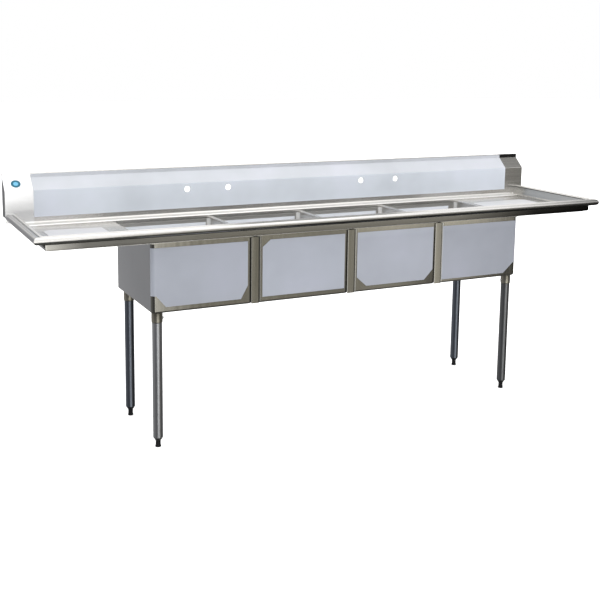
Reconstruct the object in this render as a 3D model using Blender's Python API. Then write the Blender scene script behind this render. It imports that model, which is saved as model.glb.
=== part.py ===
"""Four-compartment restaurant sink: two drainboards, a backsplash, four tube legs on adjustable feet.

Metres, +Z up, front towards -Y. The origin is on the floor under the middle of the overall box.
Thin sheets are drawn as (a, b) profiles whose thickness lies to the right of the drawing direction.
"""

import math

import bmesh
import bpy

# Overall size
LENGTH = 2.766
DEPTH = 0.670
HEIGHT = 1.096
END_X = LENGTH / 2
FRONT_Y = -DEPTH / 2
WALL_Y = DEPTH / 2

GAUGE = 0.0016  # sheet steel
GAP = 0.0003  # left between separate pieces
FILM = 0.0004  # protective film
ARC_STEPS = 4

# Deck heights
RIM_TOP_Z = 0.9275
LEDGE_Z = 0.884
FLOOR_END_Z = 0.876
FLOOR_BOWL_Z = 0.872
BOWL_TOP_Z = 0.864

# Rolled rim, measured inwards from the outer edge
ROLL_RADIUS = 0.015
BEAD_RADIUS = 0.006
BEAD_CENTRE = (0.038, RIM_TOP_Z - 0.007)
VALLEY = (0.029, RIM_TOP_Z - 0.0042)
INNER_WALL = 0.0496
SIDE_LEDGE_START = 0.0535
SIDE_LEDGE_END = 0.062

# Backsplash
SPLASH_Y = WALL_Y - 0.070
CREASE_Z = 1.026
SLOPE_DEPTH = 0.055
LIP_Z = 1.076
LEDGE_FRONT_Y = SPLASH_Y - 0.0486
WALL_RETURN_Z = 1.045
COVE_RADIUS = 0.008
CAP_FOOT_Z = 0.910

# Bowls
BOWL_COUNT = 4
BOWL_PITCH = 0.4625
BOWL_WIDTH = 0.444
BOWL_FRONT_Y = FRONT_Y + 0.048
BOWL_BACK_Y = SPLASH_Y - 0.047
BOWL_BOTTOM_Z = 0.575
BOWL_CORNER = 0.019
BOWL_FOOT_RADIUS = 0.009
BOWL_FLAT_BORDER = 0.065
BOWL_FALL = 0.004
CORNER_STEPS = 4
BOWL_X = [(i - (BOWL_COUNT - 1) / 2) * BOWL_PITCH for i in range(BOWL_COUNT)]
BOWL_Y = (BOWL_FRONT_Y + BOWL_BACK_Y) / 2
BLOCK_X = BOWL_X[-1] + BOWL_WIDTH / 2
DIVIDER_X = [(a + b) / 2 for a, b in zip(BOWL_X, BOWL_X[1:])]
DIVIDER_HALF = (BOWL_PITCH - BOWL_WIDTH) / 2 + GAUGE
EDGE_RADIUS = 0.007

# Front skirt, end skirts and seam strips
SKIRT_Z = 0.871
SKIRT_FACE = 0.022
SKIRT_TOP_Z = 0.8955
SIDE_SKIRT_TOP_Z = LEDGE_Z - GAUGE - 2 * GAP
SKIRT_END = 0.046
SKIRT_FLANGE = 0.012
SKIRT_CORNER = 0.007
SEAM_WIDTH = 0.036
SEAM_EDGE = 0.003

# Faucet holes
HOLE_RADIUS = 0.014
HOLE_Z = 0.998
HOLE_SPACING = 0.2032
FAUCET_X = [DIVIDER_X[0], DIVIDER_X[2]]

# Legs and feet
LEG_X = BLOCK_X - 0.0315
LEG_FRONT_Y = BOWL_FRONT_Y + 0.032
LEG_BACK_Y = BOWL_BACK_Y - 0.077
LEG_RADIUS = 0.02065
LEG_WALL = 0.0015
LEG_FOOT_Z = 0.030
SOCKET_RADIUS = 0.0232
SOCKET_HEIGHT = 0.043
SCREW_RADIUS = 0.0030
SCREW_HEAD_RADIUS = 0.0052
SCREW_HEAD_HEIGHT = 0.005
STEM_RADIUS = 0.0095
FOOT_RADIUS = 0.0105
ROUND_STEPS = 20
LEGS = {
    "front_left": (-LEG_X, LEG_FRONT_Y),
    "front_right": (LEG_X, LEG_FRONT_Y),
    "back_left": (-LEG_X, LEG_BACK_Y),
    "back_right": (LEG_X, LEG_BACK_Y),
}

# Drains
DRAIN_HOLE = 0.045
DRAIN_LAND = 0.060
CUP_RADIUS = 0.0432
CUP_WALL = 0.0015
FLANGE_RADIUS = 0.056
OUTLET_RADIUS = 0.024
OUTLET_Z = BOWL_BOTTOM_Z - 0.050
DRAIN_TOP_Z = BOWL_BOTTOM_Z - BOWL_FALL + GAUGE

# Protective film
FILM_LEFT = -END_X + 0.120
FILM_RIGHT = END_X - 0.118
FILM_FOOT_Z = 0.910
FILM_LOW_Z = 0.600
FILM_HIGH_Z = 0.8445
FILM_CORNERS = ("bottom_left", "bottom_right", "top_left", "top_right")
# Film on each bowl's front: bare margins at its ends, and its cut corners. With no margin it goes round the corner.
BOWL_FILMS = [
    {"right": 0.025, "bottom_left": (0.040, 0.048), "bottom_right": (0.031, 0.056)},
    {"left": 0.024, "right": 0.024, "top_left": (0.037, 0.030)},
    {"left": 0.021, "right": 0.021, "bottom_left": (0.049, 0.043), "bottom_right": (0.045, 0.046)},
    {"left": 0.013, "low": 0.592, "bottom_right": (0.055, 0.048)},
]
# Film on each drainboard's floor: its side of the sink, and its distance from the bowl
FLOOR_FILMS = ((-1, "left", 0.095), (1, "right", 0.012))


def clear_scene():
    for item in list(bpy.data.objects):
        bpy.data.objects.remove(item, do_unlink=True)


def material(name, colour, metallic, roughness):
    made = bpy.data.materials.new(name)
    made.use_nodes = True
    shader = made.node_tree.nodes["Principled BSDF"]
    shader.inputs["Base Color"].default_value = (*colour, 1.0)
    shader.inputs["Metallic"].default_value = metallic
    shader.inputs["Roughness"].default_value = roughness
    made.diffuse_color = (*colour, 1.0)
    return made


def add_object(name, points, faces, mat, helper=False):
    mesh = bpy.data.meshes.new(name)
    mesh.from_pydata(points, [], faces)
    shape = bmesh.new()
    shape.from_mesh(mesh)
    bmesh.ops.recalc_face_normals(shape, faces=shape.faces)
    shape.to_mesh(mesh)
    shape.free()
    made = bpy.data.objects.new(name, mesh)
    bpy.context.scene.collection.objects.link(made)
    if helper:
        made.hide_render = True
        made.display_type = "WIRE"
    else:
        mesh.materials.append(mat)
    return made


def ring_body(name, rings, mat, closed=True, helper=False):
    """A body through equal rings of points: closed back to the first ring, or capped at both ends."""
    count = len(rings[0])
    points = [point for ring in rings for point in ring]
    faces = []
    spans = len(rings) if closed else len(rings) - 1
    for i in range(spans):
        low = i * count
        high = ((i + 1) % len(rings)) * count
        for j in range(count):
            k = (j + 1) % count
            faces.append((low + j, low + k, high + k, high + j))
    if not closed:
        faces.append(tuple(range(count)))
        faces.append(tuple(range(len(points) - count, len(points))))
    return add_object(name, points, faces, mat, helper)


def arc(centre, radius, start, stop, steps):
    """Points on an arc from start to stop, in degrees."""
    angles = [math.radians(start + (stop - start) * i / steps) for i in range(steps + 1)]
    return [(centre[0] + radius * math.cos(a), centre[1] + radius * math.sin(a)) for a in angles]


def rounded(corners, radii, steps=ARC_STEPS):
    """An open polyline with its inner corners rounded. radii has one value for each inner corner."""
    points = [corners[0]]
    for before, corner, after, radius in zip(corners, corners[1:], corners[2:], radii):
        into = math.atan2(corner[1] - before[1], corner[0] - before[0])
        out = math.atan2(after[1] - corner[1], after[0] - corner[0])
        turn = (out - into + math.pi) % (2 * math.pi) - math.pi
        side = math.copysign(1, turn)
        setback = radius * math.tan(abs(turn) / 2)
        start = (corner[0] - setback * math.cos(into), corner[1] - setback * math.sin(into))
        centre = (
            start[0] - side * radius * math.sin(into),
            start[1] + side * radius * math.cos(into),
        )
        first = math.degrees(into) - side * 90
        points += arc(centre, radius, first, first + math.degrees(turn), steps)
    return points + [corners[-1]]


def offset(path, distance):
    """The path moved to its right by distance."""
    moved = []
    for i, point in enumerate(path):
        before = path[max(i - 1, 0)]
        after = path[min(i + 1, len(path) - 1)]
        angles = []
        if i > 0:
            angles.append(math.atan2(point[1] - before[1], point[0] - before[0]))
        if i < len(path) - 1:
            angles.append(math.atan2(after[1] - point[1], after[0] - point[0]))
        turn = (angles[-1] - angles[0] + math.pi) % (2 * math.pi) - math.pi
        heading = angles[0] + turn / 2
        reach = distance / math.cos(turn / 2)
        moved.append((point[0] + reach * math.sin(heading), point[1] - reach * math.cos(heading)))
    return moved


def sheet(name, stations, gauge, mat):
    """A bent sheet through stations, each a (path, place) pair: place turns a profile point into x, y, z."""
    rings = []
    for path, place in stations:
        outline = path + offset(path, gauge)[::-1]
        rings.append([place(*point) for point in outline])
    count = len(rings[0])
    half = count // 2
    points = [point for ring in rings for point in ring]
    faces = []
    for i in range(len(rings) - 1):
        for j in range(count):
            k = (j + 1) % count
            low = i * count
            high = low + count
            faces.append((low + j, low + k, high + k, high + j))
    for base in (0, len(points) - count):
        for j in range(half - 1):
            faces.append((base + j, base + j + 1, base + count - 2 - j, base + count - 1 - j))
    return add_object(name, points, faces, mat)


def along_x(x):
    return lambda y, z: (x, y, z)


def along_y(y):
    return lambda x, z: (x, y, z)


def along_z(z):
    return lambda x, y: (x, y, z)


def prism_x(name, outline, x0, x1, mat):
    """A flat plate with a (y, z) outline between two x planes."""
    return ring_body(name, [[(x, y, z) for y, z in outline] for x in (x0, x1)], mat, closed=False)


def box(name, low, high):
    """A helper box."""
    corners = [(low[0], low[1]), (high[0], low[1]), (high[0], high[1]), (low[0], high[1])]
    rings = [[(x, y, z) for x, y in corners] for z in (low[2], high[2])]
    return ring_body(name, rings, None, closed=False, helper=True)


def rod(name, start, stop, radius, steps):
    """A helper cylinder along X, Y or Z between two points."""
    axis = max(range(3), key=lambda i: abs(stop[i] - start[i]))
    first, second = [i for i in range(3) if i != axis]
    rings = []
    for end in (start, stop):
        ring = []
        for i in range(steps):
            angle = 2 * math.pi * (i + 0.5) / steps
            point = [0.0, 0.0, 0.0]
            point[axis] = end[axis]
            point[first] = end[first] + radius * math.cos(angle)
            point[second] = end[second] + radius * math.sin(angle)
            ring.append(tuple(point))
        rings.append(ring)
    return ring_body(name, rings, None, closed=False, helper=True)


def cut(target, cutters):
    for cutter in cutters:
        modifier = target.modifiers.new(cutter.name, "BOOLEAN")
        modifier.operation = "DIFFERENCE"
        modifier.solver = "EXACT"
        modifier.object = cutter


def turned(name, profile, centre, mat, closed=True, steps=ROUND_STEPS):
    """A round body about a vertical axis from (radius, height) points."""
    rings = []
    for radius, z in profile:
        ring = []
        for i in range(steps):
            angle = 2 * math.pi * (i + 0.5) / steps
            ring.append((centre[0] + radius * math.cos(angle), centre[1] + radius * math.sin(angle), z))
        rings.append(ring)
    return ring_body(name, rings, mat, closed)


def rounded_ring(centre, half_x, half_y, radius, z):
    ring = []
    for corner, (sx, sy) in enumerate(((1, 1), (-1, 1), (-1, -1), (1, -1))):
        middle = (centre[0] + sx * (half_x - radius), centre[1] + sy * (half_y - radius))
        ring += [(x, y, z) for x, y in arc(middle, radius, corner * 90, corner * 90 + 90, CORNER_STEPS)]
    return ring


def round_ring(centre, radius, z):
    count = 4 * (CORNER_STEPS + 1)
    step = 360 / count
    points = arc(centre, radius, step / 2, 360 - step / 2, count - 1)
    return [(x, y, z) for x, y in points]


# Rolled rim, skirts and drainboards


def roll_path():
    """The outer roll, the shallow valley and the inner bead, ending at the top of the inner wall."""
    centre = (ROLL_RADIUS, RIM_TOP_Z - ROLL_RADIUS)
    roll = arc(centre, ROLL_RADIUS, -30, -300, 18)
    bead = arc(BEAD_CENTRE, BEAD_RADIUS, 125, 0, 5)
    return roll + [VALLEY] + bead


def front_rim_path():
    return roll_path() + [(INNER_WALL, FLOOR_END_Z + 0.009), (INNER_WALL, BOWL_TOP_Z + GAP)]


def side_rim_path():
    corners = [
        roll_path()[-1],
        (SIDE_LEDGE_START, LEDGE_Z),
        (SIDE_LEDGE_END, LEDGE_Z),
        (SIDE_LEDGE_END, FLOOR_END_Z - 0.003),
    ]
    return roll_path()[:-1] + rounded(corners, (0.003, 0.003))


def side_place(side, y):
    return lambda u, z: (side * (END_X - u), y(u), z)


def build_rim(steel):
    path = front_rim_path()
    stations = [(path, lambda u, z, s=s: (s * (END_X - u - GAP), FRONT_Y + u, z)) for s in (-1, 1)]
    rim = sheet("rim_front", stations, GAUGE, steel)
    notches = []
    for side, name in ((-1, "cut_rim_left"), (1, "cut_rim_right")):
        spans = sorted((side * (END_X - 0.03), side * (END_X - SKIRT_END - SKIRT_FLANGE - GAP)))
        low = (spans[0], FRONT_Y + SKIRT_FACE, BOWL_TOP_Z - 0.01)
        high = (spans[1], BOWL_FRONT_Y + 0.01, SIDE_SKIRT_TOP_Z + GAP)
        notches.append(box(name, low, high))
    cut(rim, notches)
    for side, name in ((-1, "rim_left"), (1, "rim_right")):
        path = side_rim_path()
        stations = [
            (path, side_place(side, lambda u: FRONT_Y + u + GAP)),
            (path, side_place(side, lambda u: SPLASH_Y - 2 * GAP)),
        ]
        sheet(name, stations, GAUGE, steel)


def skirt_path(face, top, lift):
    inner = face + SKIRT_FLANGE
    corners = [(inner, SKIRT_Z + lift), (face, SKIRT_Z + lift), (face, top), (inner, top)]
    return rounded(corners, (0.002, 0.002), 2)


def skirt_lifts():
    """(distance from the end, lift) pairs that round off a lower corner."""
    return [(SKIRT_CORNER - x, SKIRT_CORNER - z) for x, z in arc((0, 0), SKIRT_CORNER, 0, 90, ARC_STEPS)]


def front_skirt_place(side, distance):
    """Places a profile point at a distance from the mitre between the front skirt and an end skirt."""
    return lambda u, z: (side * (END_X - SKIRT_END - GAP - distance - (u - SKIRT_FACE)), FRONT_Y + u, z)


def end_skirt_place(side, distance):
    return side_place(side, lambda u: FRONT_Y + SKIRT_FACE + GAP + distance + (u - SKIRT_END))


def build_skirts(steel):
    lifts = skirt_lifts()
    spots = [(-1, d, lift) for d, lift in lifts] + [(1, d, lift) for d, lift in lifts[::-1]]
    stations = []
    for side, distance, lift in spots:
        path = skirt_path(SKIRT_FACE, SKIRT_TOP_Z, lift)
        stations.append((path, front_skirt_place(side, distance)))
    sheet("apron_front", stations, GAUGE, steel)
    top = SIDE_SKIRT_TOP_Z
    for side, name in ((-1, "apron_left"), (1, "apron_right")):
        stations = [(skirt_path(SKIRT_END, top, 0.7 * lift), end_skirt_place(side, d)) for d, lift in lifts]
        stations.append((skirt_path(SKIRT_END, top, 0), side_place(side, lambda u: SPLASH_Y - 2 * GAP)))
        sheet(name, stations, GAUGE, steel)


def drainboard_path(side):
    inner = BLOCK_X - GAUGE
    corners = [
        (inner, BOWL_TOP_Z + GAP),
        (inner, FLOOR_BOWL_Z),
        (END_X - SIDE_LEDGE_END - GAP, FLOOR_END_Z),
    ]
    path = rounded(corners, (EDGE_RADIUS,))
    if side > 0:
        return path
    return [(-x, z) for x, z in path]


def floor_span():
    return FRONT_Y + INNER_WALL + GAP, LEDGE_FRONT_Y - GAP


def build_drainboards(steel):
    for side, name in ((-1, "drainboard_left"), (1, "drainboard_right")):
        stations = [(drainboard_path(side), along_y(y)) for y in floor_span()]
        sheet(name, stations, side * GAUGE, steel)


# Backsplash


def splash_path():
    corners = [
        (LEDGE_FRONT_Y, BOWL_TOP_Z + GAP),
        (LEDGE_FRONT_Y, LEDGE_Z),
        (SPLASH_Y, LEDGE_Z),
        (SPLASH_Y, CREASE_Z),
        (SPLASH_Y + SLOPE_DEPTH, LIP_Z),
        (SPLASH_Y + SLOPE_DEPTH, HEIGHT),
        (WALL_Y, HEIGHT),
        (WALL_Y, WALL_RETURN_Z),
    ]
    return rounded(corners, (0.006, COVE_RADIUS, 0.003, 0.003, 0.0025, 0.0025))


def film_path():
    corners = [
        (SPLASH_Y, FILM_FOOT_Z),
        (SPLASH_Y, CREASE_Z),
        (SPLASH_Y + SLOPE_DEPTH, LIP_Z),
        (SPLASH_Y + SLOPE_DEPTH, HEIGHT - 0.004),
    ]
    return offset(rounded(corners, (0.003, 0.003)), -GAP - FILM)


def faucet_holes():
    return [x + side * HOLE_SPACING / 2 for x in FAUCET_X for side in (-1, 1)]


def hole_cutters(prefix):
    cutters = []
    for i, x in enumerate(faucet_holes()):
        start = (x, SPLASH_Y - 0.01, HOLE_Z)
        stop = (x, SPLASH_Y + 0.01, HOLE_Z)
        cutters.append(rod(f"{prefix}_{i + 1}", start, stop, HOLE_RADIUS, 16))
    return cutters


def build_splash(steel, film):
    stations = [(splash_path(), along_x(x)) for x in (-END_X, END_X)]
    splash = sheet("backsplash", stations, GAUGE, steel)
    notches = []
    for side, name in ((-1, "cut_ledge_left"), (1, "cut_ledge_right")):
        spans = sorted((side * (END_X + 0.01), side * (END_X - SIDE_LEDGE_END - GAP)))
        low = (spans[0], LEDGE_FRONT_Y - 0.01, BOWL_TOP_Z - 0.01)
        high = (spans[1], SPLASH_Y - GAP, RIM_TOP_Z)
        notches.append(box(name, low, high))
    holes = hole_cutters("cut_faucet")
    cut(splash, notches + holes)
    inner = GAUGE + GAP
    corners = [
        (SPLASH_Y + inner, CAP_FOOT_Z),
        (SPLASH_Y + inner, CREASE_Z - inner / 3),
        (SPLASH_Y + SLOPE_DEPTH + inner, LIP_Z - inner / 3),
        (SPLASH_Y + SLOPE_DEPTH + inner, HEIGHT - inner),
        (WALL_Y - inner, HEIGHT - inner),
        (WALL_Y - inner, CAP_FOOT_Z),
    ]
    for side, name in ((-1, "splash_end_cap_left"), (1, "splash_end_cap_right")):
        prism_x(name, corners, side * END_X, side * (END_X - GAUGE), steel)
    stations = [(film_path(), along_x(x)) for x in (FILM_LEFT, FILM_RIGHT)]
    cut(sheet("film_splash", stations, FILM, film), holes)


# Bowls, dividers, seam strips and their film


def bowl_ring(x, inset, radius, z):
    half_x = BOWL_WIDTH / 2 - inset
    half_y = (BOWL_BACK_Y - BOWL_FRONT_Y) / 2 - inset
    return rounded_ring((x, BOWL_Y), half_x, half_y, radius, z)


def bowl_skin(x, inset, lift):
    """Rings down one face of the bowl, from the wall's top to the drain hole."""
    radius = BOWL_CORNER - inset
    foot = BOWL_FOOT_RADIUS - inset
    rings = []
    for across, height in arc((0, 0), foot, 0, 90, 3):
        reach = inset + foot - across
        rings.append(bowl_ring(x, reach, radius - (foot - across), BOWL_BOTTOM_Z + lift + foot - height))
    rings.append(bowl_ring(x, BOWL_FLAT_BORDER, 0.02, BOWL_BOTTOM_Z + lift))
    for reach in (DRAIN_LAND, DRAIN_HOLE):
        rings.append(round_ring((x, BOWL_Y), reach, BOWL_BOTTOM_Z - BOWL_FALL + lift))
    return rings


def build_bowl(index, x, steel):
    outer = [
        bowl_ring(x, 0, 0.001, BOWL_TOP_Z),
        bowl_ring(x, 0, 0.001, BOWL_TOP_Z - GAUGE),
        bowl_ring(x, 0, BOWL_CORNER, BOWL_TOP_Z - 2 * GAUGE),
    ]
    outer += bowl_skin(x, 0, 0)
    inner = [bowl_ring(x, GAUGE, BOWL_CORNER - GAUGE, BOWL_TOP_Z)] + bowl_skin(x, GAUGE, GAUGE)
    ring_body(f"bowl_{index}", outer + inner[::-1], steel)


def build_dividers(steel):
    for i, x in enumerate(DIVIDER_X):
        corners = [
            (x - DIVIDER_HALF, BOWL_TOP_Z + GAP),
            (x - DIVIDER_HALF, FLOOR_BOWL_Z),
            (x + DIVIDER_HALF, FLOOR_BOWL_Z),
            (x + DIVIDER_HALF, BOWL_TOP_Z + GAP),
        ]
        path = rounded(corners, (EDGE_RADIUS, EDGE_RADIUS))
        sheet(f"divider_{i + 1}", [(path, along_y(y)) for y in floor_span()], GAUGE, steel)


def build_seams(steel):
    half = SEAM_WIDTH / 2
    heights = (BOWL_BOTTOM_Z, BOWL_TOP_Z - 2 * GAUGE - 2 * GAP)
    for i, x in enumerate(DIVIDER_X):
        path = [
            (x + half, BOWL_FRONT_Y + GAUGE / 2),
            (x + half - SEAM_EDGE, BOWL_FRONT_Y),
            (x - half + SEAM_EDGE, BOWL_FRONT_Y),
            (x - half, BOWL_FRONT_Y + GAUGE / 2),
        ]
        sheet(f"seam_strip_{i + 1}", [(path, along_z(z)) for z in heights], GAUGE, steel)


def end_turn(reach):
    """Degrees of the bowl's corner that the film covers: most of it where the film has no end on the front."""
    if reach is None:
        return 80
    if reach < BOWL_CORNER:
        return math.degrees(math.asin(1 - reach / BOWL_CORNER))
    return 0


def film_front(x, start, stop):
    """Points along the bowl's front, from start to stop, each a distance from the bowl's nearer side."""
    skin = GAP + FILM
    face = BOWL_FRONT_Y - skin
    radius = BOWL_CORNER + skin
    points = []
    for side, reach in ((-1, start), (1, stop)):
        turn = end_turn(reach)
        if turn:
            corner = (x + side * (BOWL_WIDTH / 2 - BOWL_CORNER), BOWL_FRONT_Y + BOWL_CORNER)
            bend = arc(corner, radius, 270 + side * turn, 270, ARC_STEPS + 1)
        else:
            bend = [(x + side * (BOWL_WIDTH / 2 - reach), face)]
        points.append(bend)
    return points[0], points[1][::-1]


def build_bowl_film(index, x, cut_film, film):
    """Film on a bowl's front. A corner cut is a (width, height) pair."""
    left, right = film_front(x, cut_film.get("left"), cut_film.get("right"))
    first = left[-1][0]
    last = right[0][0]
    face = left[-1][1]
    cuts = {corner: cut_film.get(corner, (0, 0)) for corner in FILM_CORNERS}
    stops = {first + cuts["bottom_left"][0], first + cuts["top_left"][0]}
    stops |= {last - cuts["bottom_right"][0], last - cuts["top_right"][0]}
    path = left + [(s, face) for s in sorted(stops) if first < s < last] + right
    rings = []
    for outer, inner in zip(path, offset(path, -FILM)):
        bites = {}
        for corner, (width, height) in cuts.items():
            reach = outer[0] - first if corner.endswith("left") else last - outer[0]
            bites[corner] = height * (1 - max(reach, 0) / width) if width and reach < width else 0
        low = cut_film.get("low", FILM_LOW_Z) + max(bites["bottom_left"], bites["bottom_right"])
        high = FILM_HIGH_Z - max(bites["top_left"], bites["top_right"])
        rings.append([(*outer, low), (*outer, high), (*inner, high), (*inner, low)])
    ring_body(f"film_bowl_{index}", rings, film, closed=False)


def build_bowl_films(film):
    for i, (x, cut_film) in enumerate(zip(BOWL_X, BOWL_FILMS)):
        build_bowl_film(i + 1, x, cut_film, film)


def build_floor_films(film):
    """Flat film on each drainboard floor, with its two far corners clipped."""
    near_end = END_X - 0.120
    fall = (FLOOR_END_Z - FLOOR_BOWL_Z) / (END_X - SIDE_LEDGE_END - BLOCK_X)
    front = FRONT_Y + 0.085
    back = LEDGE_FRONT_Y - 0.110
    clip = 0.025
    for side, name, bowl_margin in FLOOR_FILMS:
        rings = []
        for x, bite in ((BLOCK_X + bowl_margin, 0), (near_end - clip, 0), (near_end, clip)):
            low = FLOOR_BOWL_Z + fall * (x - BLOCK_X) + 2 * GAP
            high = low + FILM
            ys = (front + bite, back - bite)
            rings.append([
                (side * x, ys[0], low),
                (side * x, ys[1], low),
                (side * x, ys[1], high),
                (side * x, ys[0], high),
            ])
        ring_body(f"film_drainboard_{name}", rings, film, closed=False)


# Legs, sockets, set screws and feet


def build_leg(name, x, y, steel, screw_steel, foot_mat):
    socket_low = BOWL_BOTTOM_Z - SOCKET_HEIGHT
    socket_high = BOWL_BOTTOM_Z - GAP
    bore = LEG_RADIUS + GAP
    socket = turned(f"leg_socket_{name}", [
        (SOCKET_RADIUS - 0.0015, socket_low),
        (SOCKET_RADIUS, socket_low + 0.004),
        (SOCKET_RADIUS, socket_high),
        (bore, socket_high),
        (bore, socket_low),
    ], (x, y), steel)
    inward = -math.copysign(1, x)
    screw_z = BOWL_BOTTOM_Z - 0.6 * SOCKET_HEIGHT
    start = (x, y, screw_z)
    stop = (x + inward * (SOCKET_RADIUS + 0.005), y, screw_z)
    cut(socket, [rod(f"cut_socket_{name}", start, stop, SCREW_RADIUS + GAP, 12)])
    profile = [
        (SCREW_RADIUS, bore + GAP / 2),
        (SCREW_RADIUS, SOCKET_RADIUS + GAP),
        (SCREW_HEAD_RADIUS, SOCKET_RADIUS + GAP),
        (SCREW_HEAD_RADIUS, SOCKET_RADIUS + GAP + 0.8 * SCREW_HEAD_HEIGHT),
        (0.8 * SCREW_HEAD_RADIUS, SOCKET_RADIUS + GAP + SCREW_HEAD_HEIGHT),
    ]
    rings = []
    for radius, reach in profile:
        ring = []
        for i in range(6):
            angle = math.radians(60 * i)
            ring.append((x + inward * reach, y + radius * math.cos(angle), screw_z + radius * math.sin(angle)))
        rings.append(ring)
    ring_body(f"set_screw_{name}", rings, screw_steel, closed=False)
    inner = LEG_RADIUS - LEG_WALL
    turned(f"leg_{name}", [
        (LEG_RADIUS, BOWL_BOTTOM_Z - 0.003),
        (LEG_RADIUS, LEG_FOOT_Z + 0.014),
        (LEG_RADIUS - 0.003, LEG_FOOT_Z + 0.006),
        (STEM_RADIUS + 0.004, LEG_FOOT_Z + GAP),
        (STEM_RADIUS + 0.0012, LEG_FOOT_Z + GAP),
        (STEM_RADIUS + 0.0012, LEG_FOOT_Z + 0.004),
        (inner - 0.003, LEG_FOOT_Z + 0.009),
        (inner, LEG_FOOT_Z + 0.016),
        (inner, BOWL_BOTTOM_Z - 0.003),
    ], (x, y), steel)
    turned(f"foot_{name}", [
        (FOOT_RADIUS, 0),
        (FOOT_RADIUS + 0.0015, 0.002),
        (FOOT_RADIUS + 0.0015, 0.005),
        (FOOT_RADIUS, 0.009),
        (FOOT_RADIUS, LEG_FOOT_Z),
        (STEM_RADIUS, LEG_FOOT_Z),
        (STEM_RADIUS, LEG_FOOT_Z + 0.053),
        (STEM_RADIUS - 0.002, LEG_FOOT_Z + 0.055),
    ], (x, y), foot_mat, closed=False)


# Drains


def build_drain(index, x, drain_steel, rubber, nut_mat):
    centre = (x, BOWL_Y)
    top = DRAIN_TOP_Z + GAP + 0.002
    seat = BOWL_BOTTOM_Z - 0.034
    cup_in = CUP_RADIUS - CUP_WALL
    out_in = OUTLET_RADIUS - CUP_WALL
    turned(f"drain_body_{index}", [
        (FLANGE_RADIUS, top - 0.0005),
        (FLANGE_RADIUS - 0.001, DRAIN_TOP_Z + GAP),
        (CUP_RADIUS, DRAIN_TOP_Z + GAP),
        (CUP_RADIUS, seat),
        (OUTLET_RADIUS, seat - 0.005),
        (OUTLET_RADIUS, OUTLET_Z),
        (out_in, OUTLET_Z),
        (out_in, seat - 0.004),
        (cup_in, seat + 0.002),
        (cup_in, top - 0.004),
        (cup_in + 0.0025, top),
        (FLANGE_RADIUS - 0.002, top),
    ], centre, drain_steel)
    under = BOWL_BOTTOM_Z - BOWL_FALL - 2 * GAP
    turned(f"drain_gasket_{index}", [
        (FLANGE_RADIUS - 0.001, under),
        (FLANGE_RADIUS - 0.001, under - 0.003),
        (CUP_RADIUS + GAP, under - 0.003),
        (CUP_RADIUS + GAP, under),
    ], centre, rubber)
    nut_top = under - 0.003 - GAP
    rings = []
    for inner, z in ((0, nut_top), (0, nut_top - 0.010), (1, nut_top - 0.010), (1, nut_top)):
        ring = []
        for i in range(ROUND_STEPS):
            lug = 0.004 if i % 4 < 2 else 0
            radius = CUP_RADIUS + GAP if inner else FLANGE_RADIUS - 0.002 + lug
            angle = 2 * math.pi * (i + 0.5) / ROUND_STEPS
            ring.append((x + radius * math.cos(angle), BOWL_Y + radius * math.sin(angle), z))
        rings.append(ring)
    ring_body(f"drain_locknut_{index}", rings, nut_mat)
    floor = seat + 0.006
    side = cup_in - 0.0012
    lip = top + GAP
    basket = turned(f"strainer_basket_{index}", [
        (side - 0.003, floor),
        (side, floor + 0.003),
        (side, lip),
        (FLANGE_RADIUS - 0.008, lip),
        (FLANGE_RADIUS - 0.008, lip + 0.0012),
        (side - 0.0015, lip + 0.0012),
        (side - 0.0015, floor + 0.004),
        (side - 0.004, floor + 0.0015),
        (0.008, floor + 0.0015),
        (0.003, floor + 0.004),
        (0.003, floor + 0.022),
        (0.0085, floor + 0.025),
        (0.0085, floor + 0.031),
        (0.006, floor + 0.033),
    ], centre, drain_steel, closed=False, steps=16)
    drills = []
    for i in range(6):
        angle = math.radians(60 * i + 30)
        spot = (x + 0.023 * math.cos(angle), BOWL_Y + 0.023 * math.sin(angle))
        drills.append(rod(f"cut_basket_{index}_{i + 1}", (*spot, floor - 0.01), (*spot, floor + 0.01), 0.0055, 6))
    cut(basket, drills)


def main():
    clear_scene()
    steel = material("sheet_steel", (0.62, 0.62, 0.60), 1.0, 0.30)
    bowl_steel = material("bowl_steel", (0.56, 0.55, 0.51), 1.0, 0.35)
    tube_steel = material("tube_steel", (0.50, 0.51, 0.52), 1.0, 0.32)
    drain_steel = material("drain_steel", (0.70, 0.70, 0.70), 1.0, 0.22)
    nut_mat = material("nut_brass", (0.62, 0.50, 0.28), 1.0, 0.35)
    rubber = material("gasket_rubber", (0.05, 0.05, 0.05), 0.0, 0.80)
    foot_mat = material("foot_plastic", (0.04, 0.04, 0.045), 0.0, 0.55)
    film = material("blue_film", (0.62, 0.68, 0.78), 0.0, 0.45)

    build_rim(steel)
    build_skirts(steel)
    build_drainboards(steel)
    build_splash(steel, film)
    for i, x in enumerate(BOWL_X):
        build_bowl(i + 1, x, bowl_steel)
        build_drain(i + 1, x, drain_steel, rubber, nut_mat)
    build_dividers(steel)
    build_seams(bowl_steel)
    build_bowl_films(film)
    build_floor_films(film)
    for name, (x, y) in LEGS.items():
        build_leg(name, x, y, tube_steel, drain_steel, foot_mat)


main()
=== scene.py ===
"""Looks of the four-compartment restaurant sink.

Metres, +Z up, front towards -Y. A sheet is an (a, b) profile whose thickness lies to the right of its drawing
direction.
"""

from math import asin, atan2, copysign, cos, degrees, pi, radians, sin, tan

import bmesh
import bpy
from mathutils import Matrix, Vector


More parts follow.
